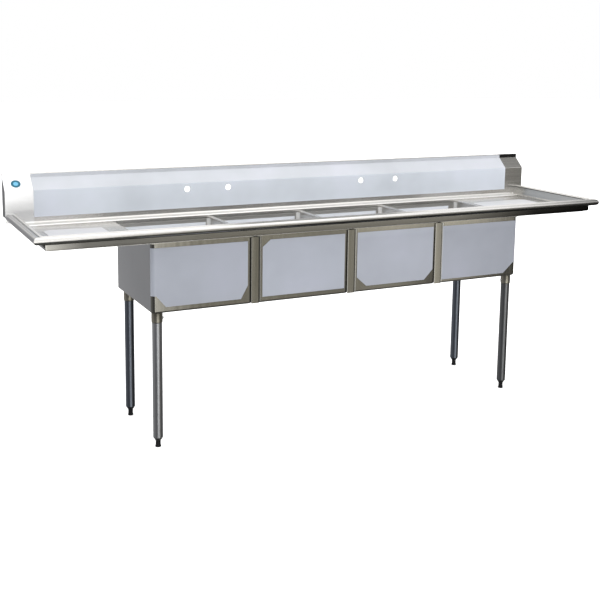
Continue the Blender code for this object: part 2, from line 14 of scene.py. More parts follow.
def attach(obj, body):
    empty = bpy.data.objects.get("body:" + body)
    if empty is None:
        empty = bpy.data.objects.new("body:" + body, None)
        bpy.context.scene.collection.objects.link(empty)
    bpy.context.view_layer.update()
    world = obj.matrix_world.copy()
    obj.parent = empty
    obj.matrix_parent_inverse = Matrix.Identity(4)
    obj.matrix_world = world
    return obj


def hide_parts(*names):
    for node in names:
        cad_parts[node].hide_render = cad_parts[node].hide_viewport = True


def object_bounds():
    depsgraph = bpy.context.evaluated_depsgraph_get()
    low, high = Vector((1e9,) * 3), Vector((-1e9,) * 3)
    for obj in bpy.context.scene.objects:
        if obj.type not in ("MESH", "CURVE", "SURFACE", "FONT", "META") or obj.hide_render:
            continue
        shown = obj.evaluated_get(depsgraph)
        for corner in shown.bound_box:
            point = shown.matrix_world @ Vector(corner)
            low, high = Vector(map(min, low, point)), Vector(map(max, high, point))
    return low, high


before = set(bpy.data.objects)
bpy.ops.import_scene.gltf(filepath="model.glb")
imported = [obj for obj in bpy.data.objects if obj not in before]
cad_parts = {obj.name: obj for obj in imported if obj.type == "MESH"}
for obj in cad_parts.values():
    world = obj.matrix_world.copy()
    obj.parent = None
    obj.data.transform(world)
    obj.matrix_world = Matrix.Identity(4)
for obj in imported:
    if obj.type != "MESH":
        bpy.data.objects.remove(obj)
cad_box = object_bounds()

# Overall size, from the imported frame
LOW, HIGH = (Vector(corner) for corner in cad_box)
END_X = HIGH.x
FRONT_Y = LOW.y
WALL_Y = HIGH.y
TOP_Z = HIGH.z

GAUGE = 0.0016
GAP = 0.0003
FILM = 0.0004
SIDES = ((-1, "left"), (1, "right"))
ARC_STEPS = 8
ROUND_STEPS = 48
SHARP_ANGLE = radians(35)

# Deck
RIM_TOP_Z = 0.9275
LEDGE_Z = 0.884
FLOOR_END_Z = 0.876
FLOOR_BOWL_Z = 0.872
BOWL_TOP_Z = 0.864

# Rolled rim, measured inwards from the outer edge
ROLL_RADIUS = 0.015
BEAD_RADIUS = 0.006
BEAD_CENTRE = (0.038, RIM_TOP_Z - 0.007)
VALLEY = (0.029, RIM_TOP_Z - 0.0042)
INNER_WALL = 0.0496
SIDE_LEDGE_START = 0.0535
SIDE_LEDGE_END = 0.062
# Where the rims' painted reflection and painted shade lines lie, also measured inwards or down from the rim's
# top
BEAD_START = VALLEY[0] - 0.004
BEAD_DROP = 0.012
VALLEY_LINE = (0.0265, 0.0315)
EDGE_LINE = 0.0425
EDGE_LINE_DROP = 0.0025
LINE_DROP = 0.008

# Backsplash
SPLASH_Y = WALL_Y - 0.070
CREASE_Z = 1.026
SLOPE_DEPTH = 0.055
LIP_Z = 1.076
LEDGE_FRONT_Y = SPLASH_Y - 0.0486
WALL_RETURN_Z = 1.045
COVE_RADIUS = 0.008
CAP_FOOT_Z = 0.910
# Back edge of the painted bright reflection on the splash's bare left end
LEFT_REFLECTION_BACK_Y = WALL_Y - 0.012

# Bowls
BOWL_COUNT = 4
BOWL_PITCH = 0.4625
BOWL_WIDTH = 0.444
BOWL_FRONT_Y = FRONT_Y + 0.048
BOWL_BACK_Y = SPLASH_Y - 0.047
BOWL_BOTTOM_Z = 0.575
BOWL_CORNER = 0.019
BOWL_FOOT_RADIUS = 0.009
BOWL_FLAT_BORDER = 0.065
BOWL_FALL = 0.004
RIM_CORNER = 0.001
CORNER_STEPS = 9
BOWL_X = [(i - (BOWL_COUNT - 1) / 2) * BOWL_PITCH for i in range(BOWL_COUNT)]
BOWL_Y = (BOWL_FRONT_Y + BOWL_BACK_Y) / 2
BLOCK_X = BOWL_X[-1] + BOWL_WIDTH / 2
DIVIDER_X = [(a + b) / 2 for a, b in zip(BOWL_X, BOWL_X[1:])]
DIVIDER_HALF = (BOWL_PITCH - BOWL_WIDTH) / 2 + GAUGE
EDGE_RADIUS = 0.007

# Skirts and seam strips
SKIRT_Z = 0.871
SKIRT_FACE = 0.022
SKIRT_TOP_Z = 0.8955
SIDE_SKIRT_TOP_Z = LEDGE_Z - GAUGE - 2 * GAP
SKIRT_END = 0.046
SKIRT_FLANGE = 0.012
SKIRT_CORNER = 0.007
SEAM_WIDTH = 0.036
SEAM_EDGE = 0.003

# Faucet holes
HOLE_RADIUS = 0.014
HOLE_Z = 0.998
HOLE_SPACING = 0.2032
HOLE_STEPS = 48
CUT_DEPTH = 0.01
FAUCET_X = [DIVIDER_X[0], DIVIDER_X[2]]

# Legs
LEG_X = BLOCK_X - 0.0315
LEG_FRONT_Y = BOWL_FRONT_Y + 0.032
LEG_BACK_Y = BOWL_BACK_Y - 0.077
LEG_RADIUS = 0.02065
LEG_WALL = 0.0015
LEG_FOOT_Z = 0.030
SOCKET_RADIUS = 0.0232
SOCKET_HEIGHT = 0.043
SCREW_HEAD_RADIUS = 0.0052
SCREW_HEAD_HEIGHT = 0.005
STEM_RADIUS = 0.0095
FOOT_RADIUS = 0.0105
SCREW_SIDES = 6
# A screw head's profile: share of its radius, and height
SCREW_HEAD = (
    (0.80, 0), (1, 0.0006), (1, 0.85 * SCREW_HEAD_HEIGHT),
    (0.86, SCREW_HEAD_HEIGHT), (0.50, SCREW_HEAD_HEIGHT), (0.46, 0.45 * SCREW_HEAD_HEIGHT),
)
THREADS = 18
THREAD_PITCH = 0.0028
THREAD_DEPTH = 0.0008
LEG_ROWS = (("front", LEG_FRONT_Y), ("back", LEG_BACK_Y))
LEGS = {f"{row}_{name}": (side * LEG_X, y) for row, y in LEG_ROWS for side, name in SIDES}

# Drains
DRAIN_HOLE = 0.045
DRAIN_LAND = 0.060
CUP_RADIUS = 0.0432
CUP_WALL = 0.0015
FLANGE_RADIUS = 0.056
OUTLET_RADIUS = 0.024
OUTLET_Z = BOWL_BOTTOM_Z - 0.050
CUP_SEAT_Z = BOWL_BOTTOM_Z - 0.034
DRAIN_TOP_Z = BOWL_BOTTOM_Z - BOWL_FALL + GAUGE
FLANGE_TOP_Z = DRAIN_TOP_Z + GAP + 0.002
GASKET_TOP_Z = BOWL_BOTTOM_Z - BOWL_FALL - 2 * GAP
GASKET_THICKNESS = 0.003
NUT_HEIGHT = 0.010
NUT_EASE = 0.0008
NUT_STEPS = 60
NUT_LUGS = 5
LUG_DEPTH = 0.004
BASKET_WALL = 0.0015
# A basket's knob: radius, and height above the basket's floor
KNOB = (
    (0.008, BASKET_WALL), (0.004, 0.0025), (0.003, 0.004), (0.003, 0.021), (0.0070, 0.0235),
    (0.0085, 0.0255), (0.0088, 0.028), (0.0080, 0.0310), (0.0055, 0.0327), (0.0020, 0.0330),
)
DRILL_RADIUS = 0.0026
DRILL_STEPS = 10
# Circles of holes in a basket's floor: radius and count
DRILL_CIRCLES = ((0.015, 8), (0.0235, 12), (0.031, 16))

# Film
FILM_LEFT = -END_X + 0.120
FILM_RIGHT = END_X - 0.118
FILM_FOOT_Z = 0.910
FILM_LOW_Z = 0.600
FILM_HIGH_Z = 0.8445
FILM_CORNERS = ("bottom_left", "bottom_right", "top_left", "top_right")
# Ends of the splash film, and how far it stands off the steel there
SPLASH_FILM_LIFTS = (
    (FILM_LEFT, 0.0009),
    (FILM_LEFT + 0.006, 0),
    (FILM_RIGHT - 0.010, 0),
    (FILM_RIGHT - 0.003, 0.0016),
    (FILM_RIGHT, 0.0036),
)
# Film on each bowl's front: bare margins at its ends, and its cut corners as (width, height) pairs. With no
# margin it goes round the bowl's corner.
BOWL_FILMS = [
    {"right": 0.025, "bottom_left": (0.040, 0.048), "bottom_right": (0.031, 0.056)},
    {"left": 0.024, "right": 0.024, "top_left": (0.037, 0.030)},
    {"left": 0.021, "right": 0.021, "bottom_left": (0.049, 0.043), "bottom_right": (0.045, 0.046)},
    {"left": 0.013, "low": 0.592, "bottom_right": (0.055, 0.048)},
]
# Degrees of the bowl's corner under a film that goes round it
FILM_WRAP = 80
# Film on each drainboard's floor: its side of the sink, and its distance from the bowl
FLOOR_FILMS = ((-1, "left", 0.095), (1, "right", 0.012))
FLOOR_FILM_END = END_X - 0.120
FLOOR_FILM_FRONT = FRONT_Y + 0.085
FLOOR_FILM_BACK = LEDGE_FRONT_Y - 0.110
FLOOR_FILM_CUT = 0.025
# Film inside each bowl, on its back wall: bare margins at its ends
BACK_FILM_MARGINS = [(0.038, 0.021), (0.050, 0.024), (0.064, 0.030), (0.064, 0.050)]
BACK_FILM_LOW = BOWL_BOTTOM_Z + 0.045
BACK_FILM_HIGH = BOWL_TOP_Z - 0.017
BACK_FILM_CUT = 0.020

# Round sticker on the slope: its place, and its parts as (name, inner radius, outer radius, material)
STICKER_X = -END_X + 0.052
STICKER_RISE = 0.030
STICKER_STEPS = 40
STICKER_PARTS = (("centre", 0.0008, 0.0105, "label_centre"), ("ring", 0.0107, 0.0205, "label"))

# Room: brightness by heading in degrees (0 is towards the front), and overhead from left to right
WINDOW = 1.0
ROOM_STRENGTH = 3.0
FLOOR_GLOW = (0.03, 0.03, 0.028)
WALL_GLOW = [
    (-180, 0.02), (-172, 0.04), (-163, (0.225, 0.235, 0.25)),
    (-120, (0.20, 0.20, 0.21)),
    (-60, (0.08, 0.08, 0.085)),
    (-35, (0.06, 0.06, 0.065)),
    (-20, (0.07, 0.07, 0.075)),
    (-12, WINDOW),
    (10.5, WINDOW),
    (14.5, (0.17, 0.165, 0.145)),
    (22, (0.16, 0.152, 0.130)),
    (32, (0.20, 0.195, 0.178)),
    (37, (0.15, 0.145, 0.135)),
    (40.5, 0.015), (75, 0.01), (100, 0.10), (130, 0.05), (165, 0.04), (180, 0.02),
]
# The walls below eye level are the same in front and at the sides, and brighter behind the sink
BACK_GLOW = (0.16, 0.16, 0.165)
FRONT_GLOW = WALL_GLOW[3:-3]
LOW_WALL_GLOW = [(-180, BACK_GLOW), (-140, BACK_GLOW), *FRONT_GLOW, (140, BACK_GLOW), (180, BACK_GLOW)]
UPPER_GLOW = [(-180, 0.45), (-60, 0.45), (50, 0.60), (60, 0.06), (78, 0.06), (95, 0.55), (180, 0.50)]
CEILING_GLOW = [(0.0, 0.48), (0.62, 0.52), (0.70, 0.16), (0.80, 0.08)]
# Heights, as the sine of the elevation, where floor, walls, upper walls and ceiling blend into each other
ROOM_BANDS = ((-0.60, -0.38), (-0.06, 0.0), (0.10, 0.20), (0.60, 0.68))

# Camera
CAMERA_PLACE = Vector((-2.072, -3.925, 1.597))
CAMERA_YAW = 26.523
CAMERA_PITCH = 8.642
CAMERA_ROLL = 0.742
CAMERA_LENS = 57.90
CAMERA_SHIFT_Y = -0.1564
CAMERA_FAR = 200

# Stage and lamp
FLOOR_HALF = 30
DOME_RADIUS = 40
LAMP_PLACE = Vector((-0.3, -0.5, 3.4))
LAMP_TARGET = Vector((0, 0, 0.8))
LAMP_SIZE = (5.0, 2.6)
LAMP_POWER = 25


# Materials

# Stretch of a noise: brush lines along an axis, or none
ALONG_X = (0.02, 1, 1)
ALONG_Y = (1, 0.02, 1)
ALONG_Z = (1, 1, 0.02)
ALL_WAYS = (1, 1, 1)
# The colour sockets of a Mix node, whose names repeat
MIX_A = 6
MIX_B = 7
MIX_RESULT = 2


def shader_of(mat):
    return mat.node_tree.nodes["Principled BSDF"]


def set_inputs(node, values):
    for name, value in values.items():
        node.inputs[name].default_value = value


def add_node(mat, kind, inputs=(), **settings):
    node = mat.node_tree.nodes.new(f"ShaderNode{kind}")
    for name, value in settings.items():
        setattr(node, name, value)
    set_inputs(node, dict(inputs))
    return node


def link(mat, source, output, target, socket):
    mat.node_tree.links.new(source.outputs[output], target.inputs[socket])


def new_material(name, colour, metallic, roughness):
    mat = bpy.data.materials.new(name)
    mat.use_nodes = True
    base = (*colour, 1.0)
    set_inputs(shader_of(mat), {"Base Color": base, "Metallic": metallic, "Roughness": roughness})
    mat.diffuse_color = base
    return mat


def noise_field(mat, scale, detail, stretch=ALL_WAYS):
    """Noise over object space, stretched along the axes: a small factor makes long streaks on that axis."""
    place = add_node(mat, "TexCoord")
    mapping = add_node(mat, "Mapping", {"Scale": stretch})
    field = add_node(mat, "TexNoise", {"Scale": scale, "Detail": detail, "Roughness": 0.6})
    link(mat, place, "Object", mapping, "Vector")
    link(mat, mapping, "Vector", field, "Vector")
    return field


def rgb(colour):
    """A colour's three numbers. A plain number is a grey."""
    return colour if isinstance(colour, tuple) else (colour,) * 3


def ramp(mat, field, stops, output="Fac"):
    """A colour ramp over a field. stops holds (position, colour) pairs."""
    node = add_node(mat, "ValToRGB")
    first, last = node.color_ramp.elements
    first.position, first.color = stops[0][0], (*rgb(stops[0][1]), 1)
    last.position, last.color = stops[-1][0], (*rgb(stops[-1][1]), 1)
    for position, colour in stops[1:-1]:
        node.color_ramp.elements.new(position).color = (*rgb(colour), 1)
    link(mat, field, output, node, "Fac")
    return node


def spread(mat, field, low, high):
    """A noise field's middle half, spread from low to high."""
    limits = {"From Min": 0.25, "From Max": 0.75, "To Min": low, "To Max": high}
    node = add_node(mat, "MapRange", limits)
    link(mat, field, "Fac", node, "Value")
    return node


def bumped(mat, field, strength, distance, below=None):
    node = add_node(mat, "Bump", {"Strength": strength, "Distance": distance})
    link(mat, field, "Fac", node, "Height")
    if below:
        link(mat, below, "Normal", node, "Normal")
    return node


def shade(colour, factor):
    return tuple(min(channel * factor, 1) for channel in colour)


def brushed_steel(name, colour, roughness, grain, contrast=0.10):
    """Sheet steel with fine brush lines. grain holds the noise's stretch, which is small along the lines."""
    mat = new_material(name, colour, 1.0, roughness)
    shader = shader_of(mat)
    lines = noise_field(mat, 60, 6, grain)
    clouds = noise_field(mat, 2.2, 3)
    tint = ramp(mat, lines, [(0.3, shade(colour, 1 - contrast)), (0.7, shade(colour, 1 + contrast))])
    cloud_tint = ramp(mat, clouds, [(0.3, (0.93, 0.93, 0.94)), (0.7, 1.0)])
    mix = add_node(mat, "Mix", data_type="RGBA", blend_type="MULTIPLY")
    mix.inputs["Factor"].default_value = 1.0
    link(mat, tint, "Color", mix, MIX_A)
    link(mat, cloud_tint, "Color", mix, MIX_B)
    link(mat, mix, MIX_RESULT, shader, "Base Color")
    link(mat, spread(mat, lines, roughness - 0.05, roughness + 0.07), "Result", shader, "Roughness")
    link(mat, bumped(mat, lines, 0.12, 0.0004), "Normal", shader, "Normal")
    return mat


def graded(mat, axis, stops):
    """Paints light and shade into a material's colour, scaling it along an axis. stops holds (place, factor)
    pairs.
    """
    shader = shader_of(mat)
    old = shader.inputs["Base Color"].links[0]
    low = stops[0][0]
    high = stops[-1][0]
    place = add_node(mat, "TexCoord")
    split = add_node(mat, "SeparateXYZ")
    link(mat, place, "Object", split, "Vector")
    run = add_node(mat, "MapRange", {"From Min": low, "From Max": high})
    link(mat, split, axis, run, "Value")
    factors = [((where - low) / (high - low), factor) for where, factor in stops]
    curve = ramp(mat, run, factors, "Result")
    scaled = add_node(mat, "VectorMath", operation="MULTIPLY")
    mat.node_tree.links.new(old.from_socket, scaled.inputs[0])
    link(mat, curve, "Color", scaled, 1)
    link(mat, scaled, "Vector", shader, "Base Color")


def film_material(name, colour, roughness):
    """Thin pale film with slow cloudiness, fine streaks and soft creases."""
    mat = new_material(name, colour, 0.0, roughness)
    shader = shader_of(mat)
    clouds = noise_field(mat, 3.0, 3)
    streaks = noise_field(mat, 9.0, 3, (1, 1, 6))
    tint = ramp(mat, clouds, [
        (0.25, shade(colour, 0.90)), (0.50, colour),
        (0.75, (colour[0] * 1.09, colour[1] * 1.07, colour[2] * 1.10)),
    ])
    link(mat, tint, "Color", shader, "Base Color")
    link(mat, spread(mat, streaks, roughness - 0.06, roughness + 0.08), "Result", shader, "Roughness")
    soft = bumped(mat, clouds, 0.10, 0.004)
    link(mat, bumped(mat, streaks, 0.06, 0.001, soft), "Normal", shader, "Normal")
    set_inputs(shader, {"Coat Weight": 0.15, "Coat Roughness": 0.25})
    return mat


def grained(name, colour, metallic, roughness, scale, bump):
    """A small part's material: fine grain in its colour, roughness and surface."""
    mat = new_material(name, colour, metallic, roughness)
    shader = shader_of(mat)
    grain = noise_field(mat, scale, 5)
    tint = ramp(mat, grain, [(0.3, shade(colour, 0.8)), (0.7, shade(colour, 1.2))])
    link(mat, tint, "Color", shader, "Base Color")
    link(mat, spread(mat, grain, roughness - 0.05, roughness + 0.08), "Result", shader, "Roughness")
    link(mat, bumped(mat, grain, bump, 0.0004), "Normal", shader, "Normal")
    return mat


DECK = (0.58, 0.57, 0.55)
# The deck steel darkened and tinted olive as a painted reflection, for the bowls and the seam strips
OLIVE = (0.30, 0.29, 0.255)
# Colour, roughness, direction of the brush lines, and their contrast
STEELS = {
    "deck_x": (DECK, 0.24, ALONG_X),
    "deck_y": (DECK, 0.24, ALONG_Y),
    "rim_front": (DECK, 0.24, ALONG_X),
    # rim_bead and rim_under: the deck steel, darkened along x as painted reflection on the roll's top and
    # bead and as painted shade under the roll
    "rim_bead": (DECK, 0.24, ALONG_X),
    "rim_under": (DECK, 0.24, ALONG_X),
    # The side rims: darker copies of the deck steel as painted reflection; roll_left is darker still as
    # painted reflection, and rim_line is painted shade in the valleys
    "rim_left": ((0.50, 0.49, 0.48), 0.24, ALONG_Y),
    "roll_left": ((0.27, 0.265, 0.26), 0.22, ALONG_Y, 0.12),
    "rim_right": ((0.50, 0.49, 0.46), 0.24, ALONG_Y),
    "rim_line": ((0.06, 0.06, 0.058), 0.40, ALONG_Y),
    # The skirt: the deck steel darkened as painted shade under the rim, with painted reflection along x
    "skirt": ((0.25, 0.243, 0.222), 0.20, ALONG_X),
    "splash": (DECK, 0.20, ALONG_X, 0.06),
    # The bowls: olive painted reflection, lighter to the right and at the top, the right bowl more so at its
    # top
    "bowl": (OLIVE, 0.20, ALONG_Z, 0.08),
    "bowl_right": (OLIVE, 0.20, ALONG_Z, 0.08),
    # Painted reflections on the splash's bare ends: bright on the left end, dark on the right slope and black
    # on the right lip
    "splash_left": ((0.64, 0.64, 0.635), 0.22, ALONG_X, 0.05),
    "slope_right": ((0.18, 0.176, 0.165), 0.26, ALONG_X, 0.08),
    "lip_right": ((0.03, 0.03, 0.03), 0.30, ALONG_X, 0.10),
    # Painted highlights on the ledge's top and in the bowls' inner corners, and painted light inside the
    # bowls
    "ledge": ((0.78, 0.77, 0.74), 0.40, ALONG_X, 0.05),
    "corner": ((0.95, 0.95, 0.94), 0.50, ALONG_Z, 0.04),
    "bowl_inside": ((0.62, 0.61, 0.59), 0.36, ALONG_X, 0.06),
    # The end caps: darker copies of the deck steel as painted shade, cap_left below darker still
    "end_cap": ((0.22, 0.21, 0.20), 0.30, ALONG_Z, 0.08),
    # The seam strips: olive painted reflection; seam_edge is painted shadow on their left edges and on the
    # bowls' front-left corners
    "seam": (OLIVE, 0.20, ALONG_Z, 0.12),
    "seam_edge": ((0.10, 0.097, 0.085), 0.24, ALONG_Z, 0.12),
    # Bowl 1: its left side a greyer copy as painted reflection, bowl_corner painted shade on its front-left
    # corner
    "bowl_side": ((0.325, 0.33, 0.33), 0.20, ALONG_Z, 0.08),
    "bowl_corner": ((0.18, 0.175, 0.15), 0.22, ALONG_Z, 0.12),
    "cap_left": ((0.12, 0.12, 0.12), 0.30, ALONG_Z, 0.08),
    # The legs: the front ones lighter to the left as painted light, the back ones a darker, bluer copy as
    # painted shade
    "tube": ((0.27, 0.275, 0.28), 0.42, ALONG_Z, 0.10),
    "tube_back": ((0.14, 0.155, 0.18), 0.34, ALONG_Z, 0.10),
    "socket": ((0.36, 0.34, 0.28), 0.38, ALONG_Z, 0.10),
    "drain": ((0.60, 0.60, 0.60), 0.18, ALL_WAYS, 0.08),
}
# Colour and roughness. One film in lit and shaded copies: darkest on the bowls' fronts as painted shade,
# darker on the slope and lip than on the splash's face as painted shade, palest on the bowls' back walls as
# painted light
FILMS = {
    "film": ((0.275, 0.292, 0.335), 0.42),
    "film_right": ((0.275, 0.290, 0.332), 0.42),
    "splash_film": ((0.63, 0.675, 0.74), 0.38),
    "slope_film": ((0.47, 0.49, 0.525), 0.38),
    "pale_film": ((0.48, 0.485, 0.50), 0.38),
    "inner_film": ((0.84, 0.88, 0.94), 0.38),
}
# Colour, metallic, roughness, the grain's scale and its bump
SMALL_PARTS = {
    "brass": ((0.50, 0.38, 0.18), 1.0, 0.35, 300, 0.3),
    "rubber": ((0.03, 0.03, 0.03), 0.0, 0.75, 500, 0.4),
    "foot": ((0.006, 0.006, 0.007), 0.0, 0.55, 600, 0.25),
    "label": ((0.002, 0.105, 0.17), 0.0, 0.6, 400, 0.1),
    "label_centre": ((0.13, 0.42, 0.62), 0.0, 0.5, 400, 0.1),
}
# Painted light and shade: a material's colour scaled along an axis, by (place, factor) pairs along it
BOWL_FADE = [(-0.10, 1.0), (0.90, 2.0)]
FILM_FADE = [(-0.93, 0.90), (-0.50, 0.92), (-0.40, 1.0), (0.44, 1.0), (0.49, 0.89), (0.93, 0.83)]
FADES = (
    # Painted reflection along the front rim and its bead, and painted shade under its roll, darker to the
    # right
    ("rim_front", "X", [(0.90, 1.0), (1.10, 0.8), (1.38, 0.40)]),
    ("rim_bead", "X", [(-0.66, 1.0), (-0.48, 0.34), (0.16, 0.34), (0.40, 1.0), (0.95, 0.9), (1.38, 0.35)]),
    ("rim_under", "X", [(-0.60, 1.0), (-0.30, 0.25), (1.38, 0.15)]),
    # Painted reflection along the skirt, pale at its left end and near black at its right
    ("skirt", "X", [(-1.33, 1.20), (-1.19, 0.48), (-1.05, 0.52), (-0.78, 1.0), (-0.30, 1.2), (0.20, 1.4),
                    (0.55, 1.7), (0.80, 1.0), (1.0, 0.25), (1.33, 0.12)]),
    # Painted reflection across the bowls and seam strips, lighter to the right, and painted light at the
    # bowls' tops
    ("bowl", "X", BOWL_FADE),
    ("bowl", "Z", [(0.80, 1.0), (0.86, 1.15)]),
    ("bowl_right", "X", BOWL_FADE),
    ("bowl_right", "Z", [(0.81, 1.0), (0.86, 1.7)]),
    ("seam", "X", [(-0.10, 1.0), (0.46, 2.1), (0.90, 2.2)]),
    ("seam_edge", "X", [(-0.40, 1.0), (0.50, 2.4)]),
    # Painted light on the front legs, lighter to the left
    ("tube", "X", [(-0.90, 1.35), (0.90, 0.58)]),
    # Painted shade towards the films' ends, and painted light at the top of the right bowl's film
    ("film", "X", FILM_FADE),
    ("film_right", "X", FILM_FADE),
    ("film_right", "Z", [(0.815, 1.0), (0.848, 1.12)]),
    ("splash_film", "X", [(-1.27, 0.84), (-0.90, 1.0), (0.60, 1.0), (1.27, 0.92)]),
)
# Every material, by a short name
M = {key: brushed_steel(f"{key}_steel", *facts) for key, facts in STEELS.items()}
M |= {key: film_material(key, *facts) for key, facts in FILMS.items()}
M |= {key: grained(f"{key}_grain", *facts) for key, facts in SMALL_PARTS.items()}
for faded, axis, stops in FADES:
    graded(M[faded], axis, stops)
set_inputs(shader_of(M["foot"]), {"Specular IOR Level": 0.15})


# Mesh helpers


def in_scene(name, data):
    made = bpy.data.objects.new(name, data)
    bpy.context.scene.collection.objects.link(made)
    return made


def outward_mesh(name, points, faces):
    mesh = bpy.data.meshes.new(name)
    mesh.from_pydata(points, [], faces)
    shape = bmesh.new()
    shape.from_mesh(mesh)
    bmesh.ops.recalc_face_normals(shape, faces=shape.faces)
    shape.to_mesh(mesh)
    shape.free()
    return mesh


def smooth(mesh):
    mesh.shade_smooth()
    mesh.set_sharp_from_angle(angle=SHARP_ANGLE)


def piece(name, points, faces, mat, slot, body="frame", node=None):
    """A finished piece: outward faces, smooth up to the sharp angle, riding on a body. slot is not used."""
    mesh = outward_mesh(name, points, faces)
    smooth(mesh)
    mesh.materials.append(mat)
    made = in_scene(name, mesh)
    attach(made, body)
    if node:
        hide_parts(node)
    return made


def paint_light_and_shade(made, mat, wanted):
    """Gives the faces that wanted picks by their centre and normal another material, which paints light and
    shade on them.
    """
    made.data.materials.append(mat)
    for face in made.data.polygons:
        if wanted(face.center, face.normal):
            face.material_index = len(made.data.materials) - 1


def ring_faces(rings, closed):
    """Faces between rings of equal length, in a loop if closed, and otherwise with a cap at each end."""
    count = len(rings[0])
    faces = []
    spans = len(rings) if closed else len(rings) - 1
    for i in range(spans):
        low = i * count
        high = ((i + 1) % len(rings)) * count
        for j in range(count):
            k = (j + 1) % count
            faces.append((low + j, low + k, high + k, high + j))
    if not closed:
        faces.append(tuple(range(count)))
        faces.append(tuple(range((len(rings) - 1) * count, len(rings) * count)))
    return faces


def ring_piece(name, rings, mat, closed=True, **facts):
    points = [point for ring in rings for point in ring]
    return piece(name, points, ring_faces(rings, closed), mat, **facts)


def arc(centre, radius, start, stop, steps):
    """Points on an arc from start to stop, in degrees."""
    angles = [radians(start + (stop - start) * i / steps) for i in range(steps + 1)]
    return [(centre[0] + radius * cos(a), centre[1] + radius * sin(a)) for a in angles]


def rounded(corners, radii, steps=ARC_STEPS):
    """An open polyline with its inner corners rounded. radii has one value for each inner corner."""
    points = [corners[0]]
    for before, corner, after, radius in zip(corners, corners[1:], corners[2:], radii):
        into = atan2(corner[1] - before[1], corner[0] - before[0])
        out = atan2(after[1] - corner[1], after[0] - corner[0])
        turn = (out - into + pi) % (2 * pi) - pi
        side = copysign(1, turn)
        setback = radius * tan(abs(turn) / 2)
        start = (corner[0] - setback * cos(into), corner[1] - setback * sin(into))
        centre = (
            start[0] - side * radius * sin(into),
            start[1] + side * radius * cos(into),
        )
        first = degrees(into) - side * 90
        points += arc(centre, radius, first, first + degrees(turn), steps)
    return points + [corners[-1]]


def offset(path, distance):
    """The path moved to its right by distance."""
    moved = []
    for i, point in enumerate(path):
        before = path[max(i - 1, 0)]
        after = path[min(i + 1, len(path) - 1)]
        angles = []
        if i > 0:
            angles.append(atan2(point[1] - before[1], point[0] - before[0]))
        if i < len(path) - 1:
            angles.append(atan2(after[1] - point[1], after[0] - point[0]))
        turn = (angles[-1] - angles[0] + pi) % (2 * pi) - pi
        heading = angles[0] + turn / 2
        reach = distance / cos(turn / 2)
        moved.append((point[0] + reach * sin(heading), point[1] - reach * cos(heading)))
    return moved


def sheet(name, stations, gauge, mat, slot="sheet_steel", **facts):
    """A bent sheet through stations, each a (path, place) pair: place turns a profile point into x, y, z."""
    rings = []
    for path, place in stations:
        outline = path + offset(path, gauge)[::-1]
        rings.append([place(*point) for point in outline])
    count = len(rings[0])
    half = count // 2
    points = [point for ring in rings for point in ring]
    faces = ring_faces(rings, False)[:-2]
    for base in (0, len(points) - count):
        for j in range(half - 1):
            faces.append((base + j, base + j + 1, base + count - 2 - j, base + count - 1 - j))
    return piece(name, points, faces, mat, slot, **facts)


def along_x(x):
    return lambda y, z: (x, y, z)


def along_y(y):
    return lambda x, z: (x, y, z)


def along_z(z):
    return lambda x, y: (x, y, z)


def circle(centre, radius, z, steps=ROUND_STEPS):
    angles = [2 * pi * (i + 0.5) / steps for i in range(steps)]
    return [(centre[0] + radius * cos(a), centre[1] + radius * sin(a), z) for a in angles]


def turned(name, profile, centre, mat, closed=True, **facts):
    """A round piece about a vertical axis from (radius, height) points."""
    rings = [circle(centre, radius, z) for radius, z in profile]
    return ring_piece(name, rings, mat, closed, **facts)


def cut(target, shapes):
    """Cuts shapes that don't touch each other, each a list of rings, out of a piece and keeps the result."""
    points = []
    faces = []
    for rings in shapes:
        base = len(points)
        points += [point for ring in rings for point in ring]
        faces += [tuple(base + i for i in face) for face in ring_faces(rings, False)]
    cutter = in_scene("cutter", outward_mesh("cutter", points, faces))
    modifier = target.modifiers.new("cut", "BOOLEAN")
    modifier.operation = "DIFFERENCE"
    modifier.solver = "EXACT"
    modifier.object = cutter
    bpy.context.view_layer.update()
    graph = bpy.context.evaluated_depsgraph_get()
    result = bpy.data.meshes.new_from_object(target.evaluated_get(graph))
    target.modifiers.clear()
    target.data = result
    bpy.data.objects.remove(cutter)
    smooth(result)


def cut_each(target, shapes):
    """Cuts shapes out of a piece one after the other."""
    for rings in shapes:
        cut(target, [rings])


def side_box(side, xs, ys, zs):
    """A box at one end of the sink. xs are distances from its middle."""
    left, right = sorted(side * x for x in xs)
    front, back = ys
    corners = [(left, front), (right, front), (right, back), (left, back)]
    return [[(x, y, z) for x, y in corners] for z in zs]


def hole_rings(x, radius=HOLE_RADIUS):
    outline = arc((0, 0), radius, 0, 360 - 360 / HOLE_STEPS, HOLE_STEPS - 1)
    depths = (SPLASH_Y - CUT_DEPTH, SPLASH_Y + CUT_DEPTH)
    return [[(x + a, y, HOLE_Z + b) for a, b in outline] for y in depths]


def faucet_holes():
    return [x + side * HOLE_SPACING / 2 for x in FAUCET_X for side in (-1, 1)]


# Rim, skirts and drainboards


def roll_path():
    centre = (ROLL_RADIUS, RIM_TOP_Z - ROLL_RADIUS)
    roll = arc(centre, ROLL_RADIUS, -30, -300, 36)
    bead = arc(BEAD_CENTRE, BEAD_RADIUS, 125, 0, 12)
    dip = [(VALLEY[0] - 0.002, VALLEY[1] + 0.0004), VALLEY, (VALLEY[0] + 0.002, VALLEY[1] + 0.0005)]
    return roll + dip + bead


def side_place(side, y):
    """Puts a profile at an end of the sink. Its first number runs inwards, and y gives y from that."""
    return lambda u, z: (side * (END_X - u), y(u), z)


def front_place(side, end):
    """Puts a profile on the front, mitred towards the skirt's end."""
    return lambda u, z: (side * (end - (u - SKIRT_FACE)), FRONT_Y + u, z)


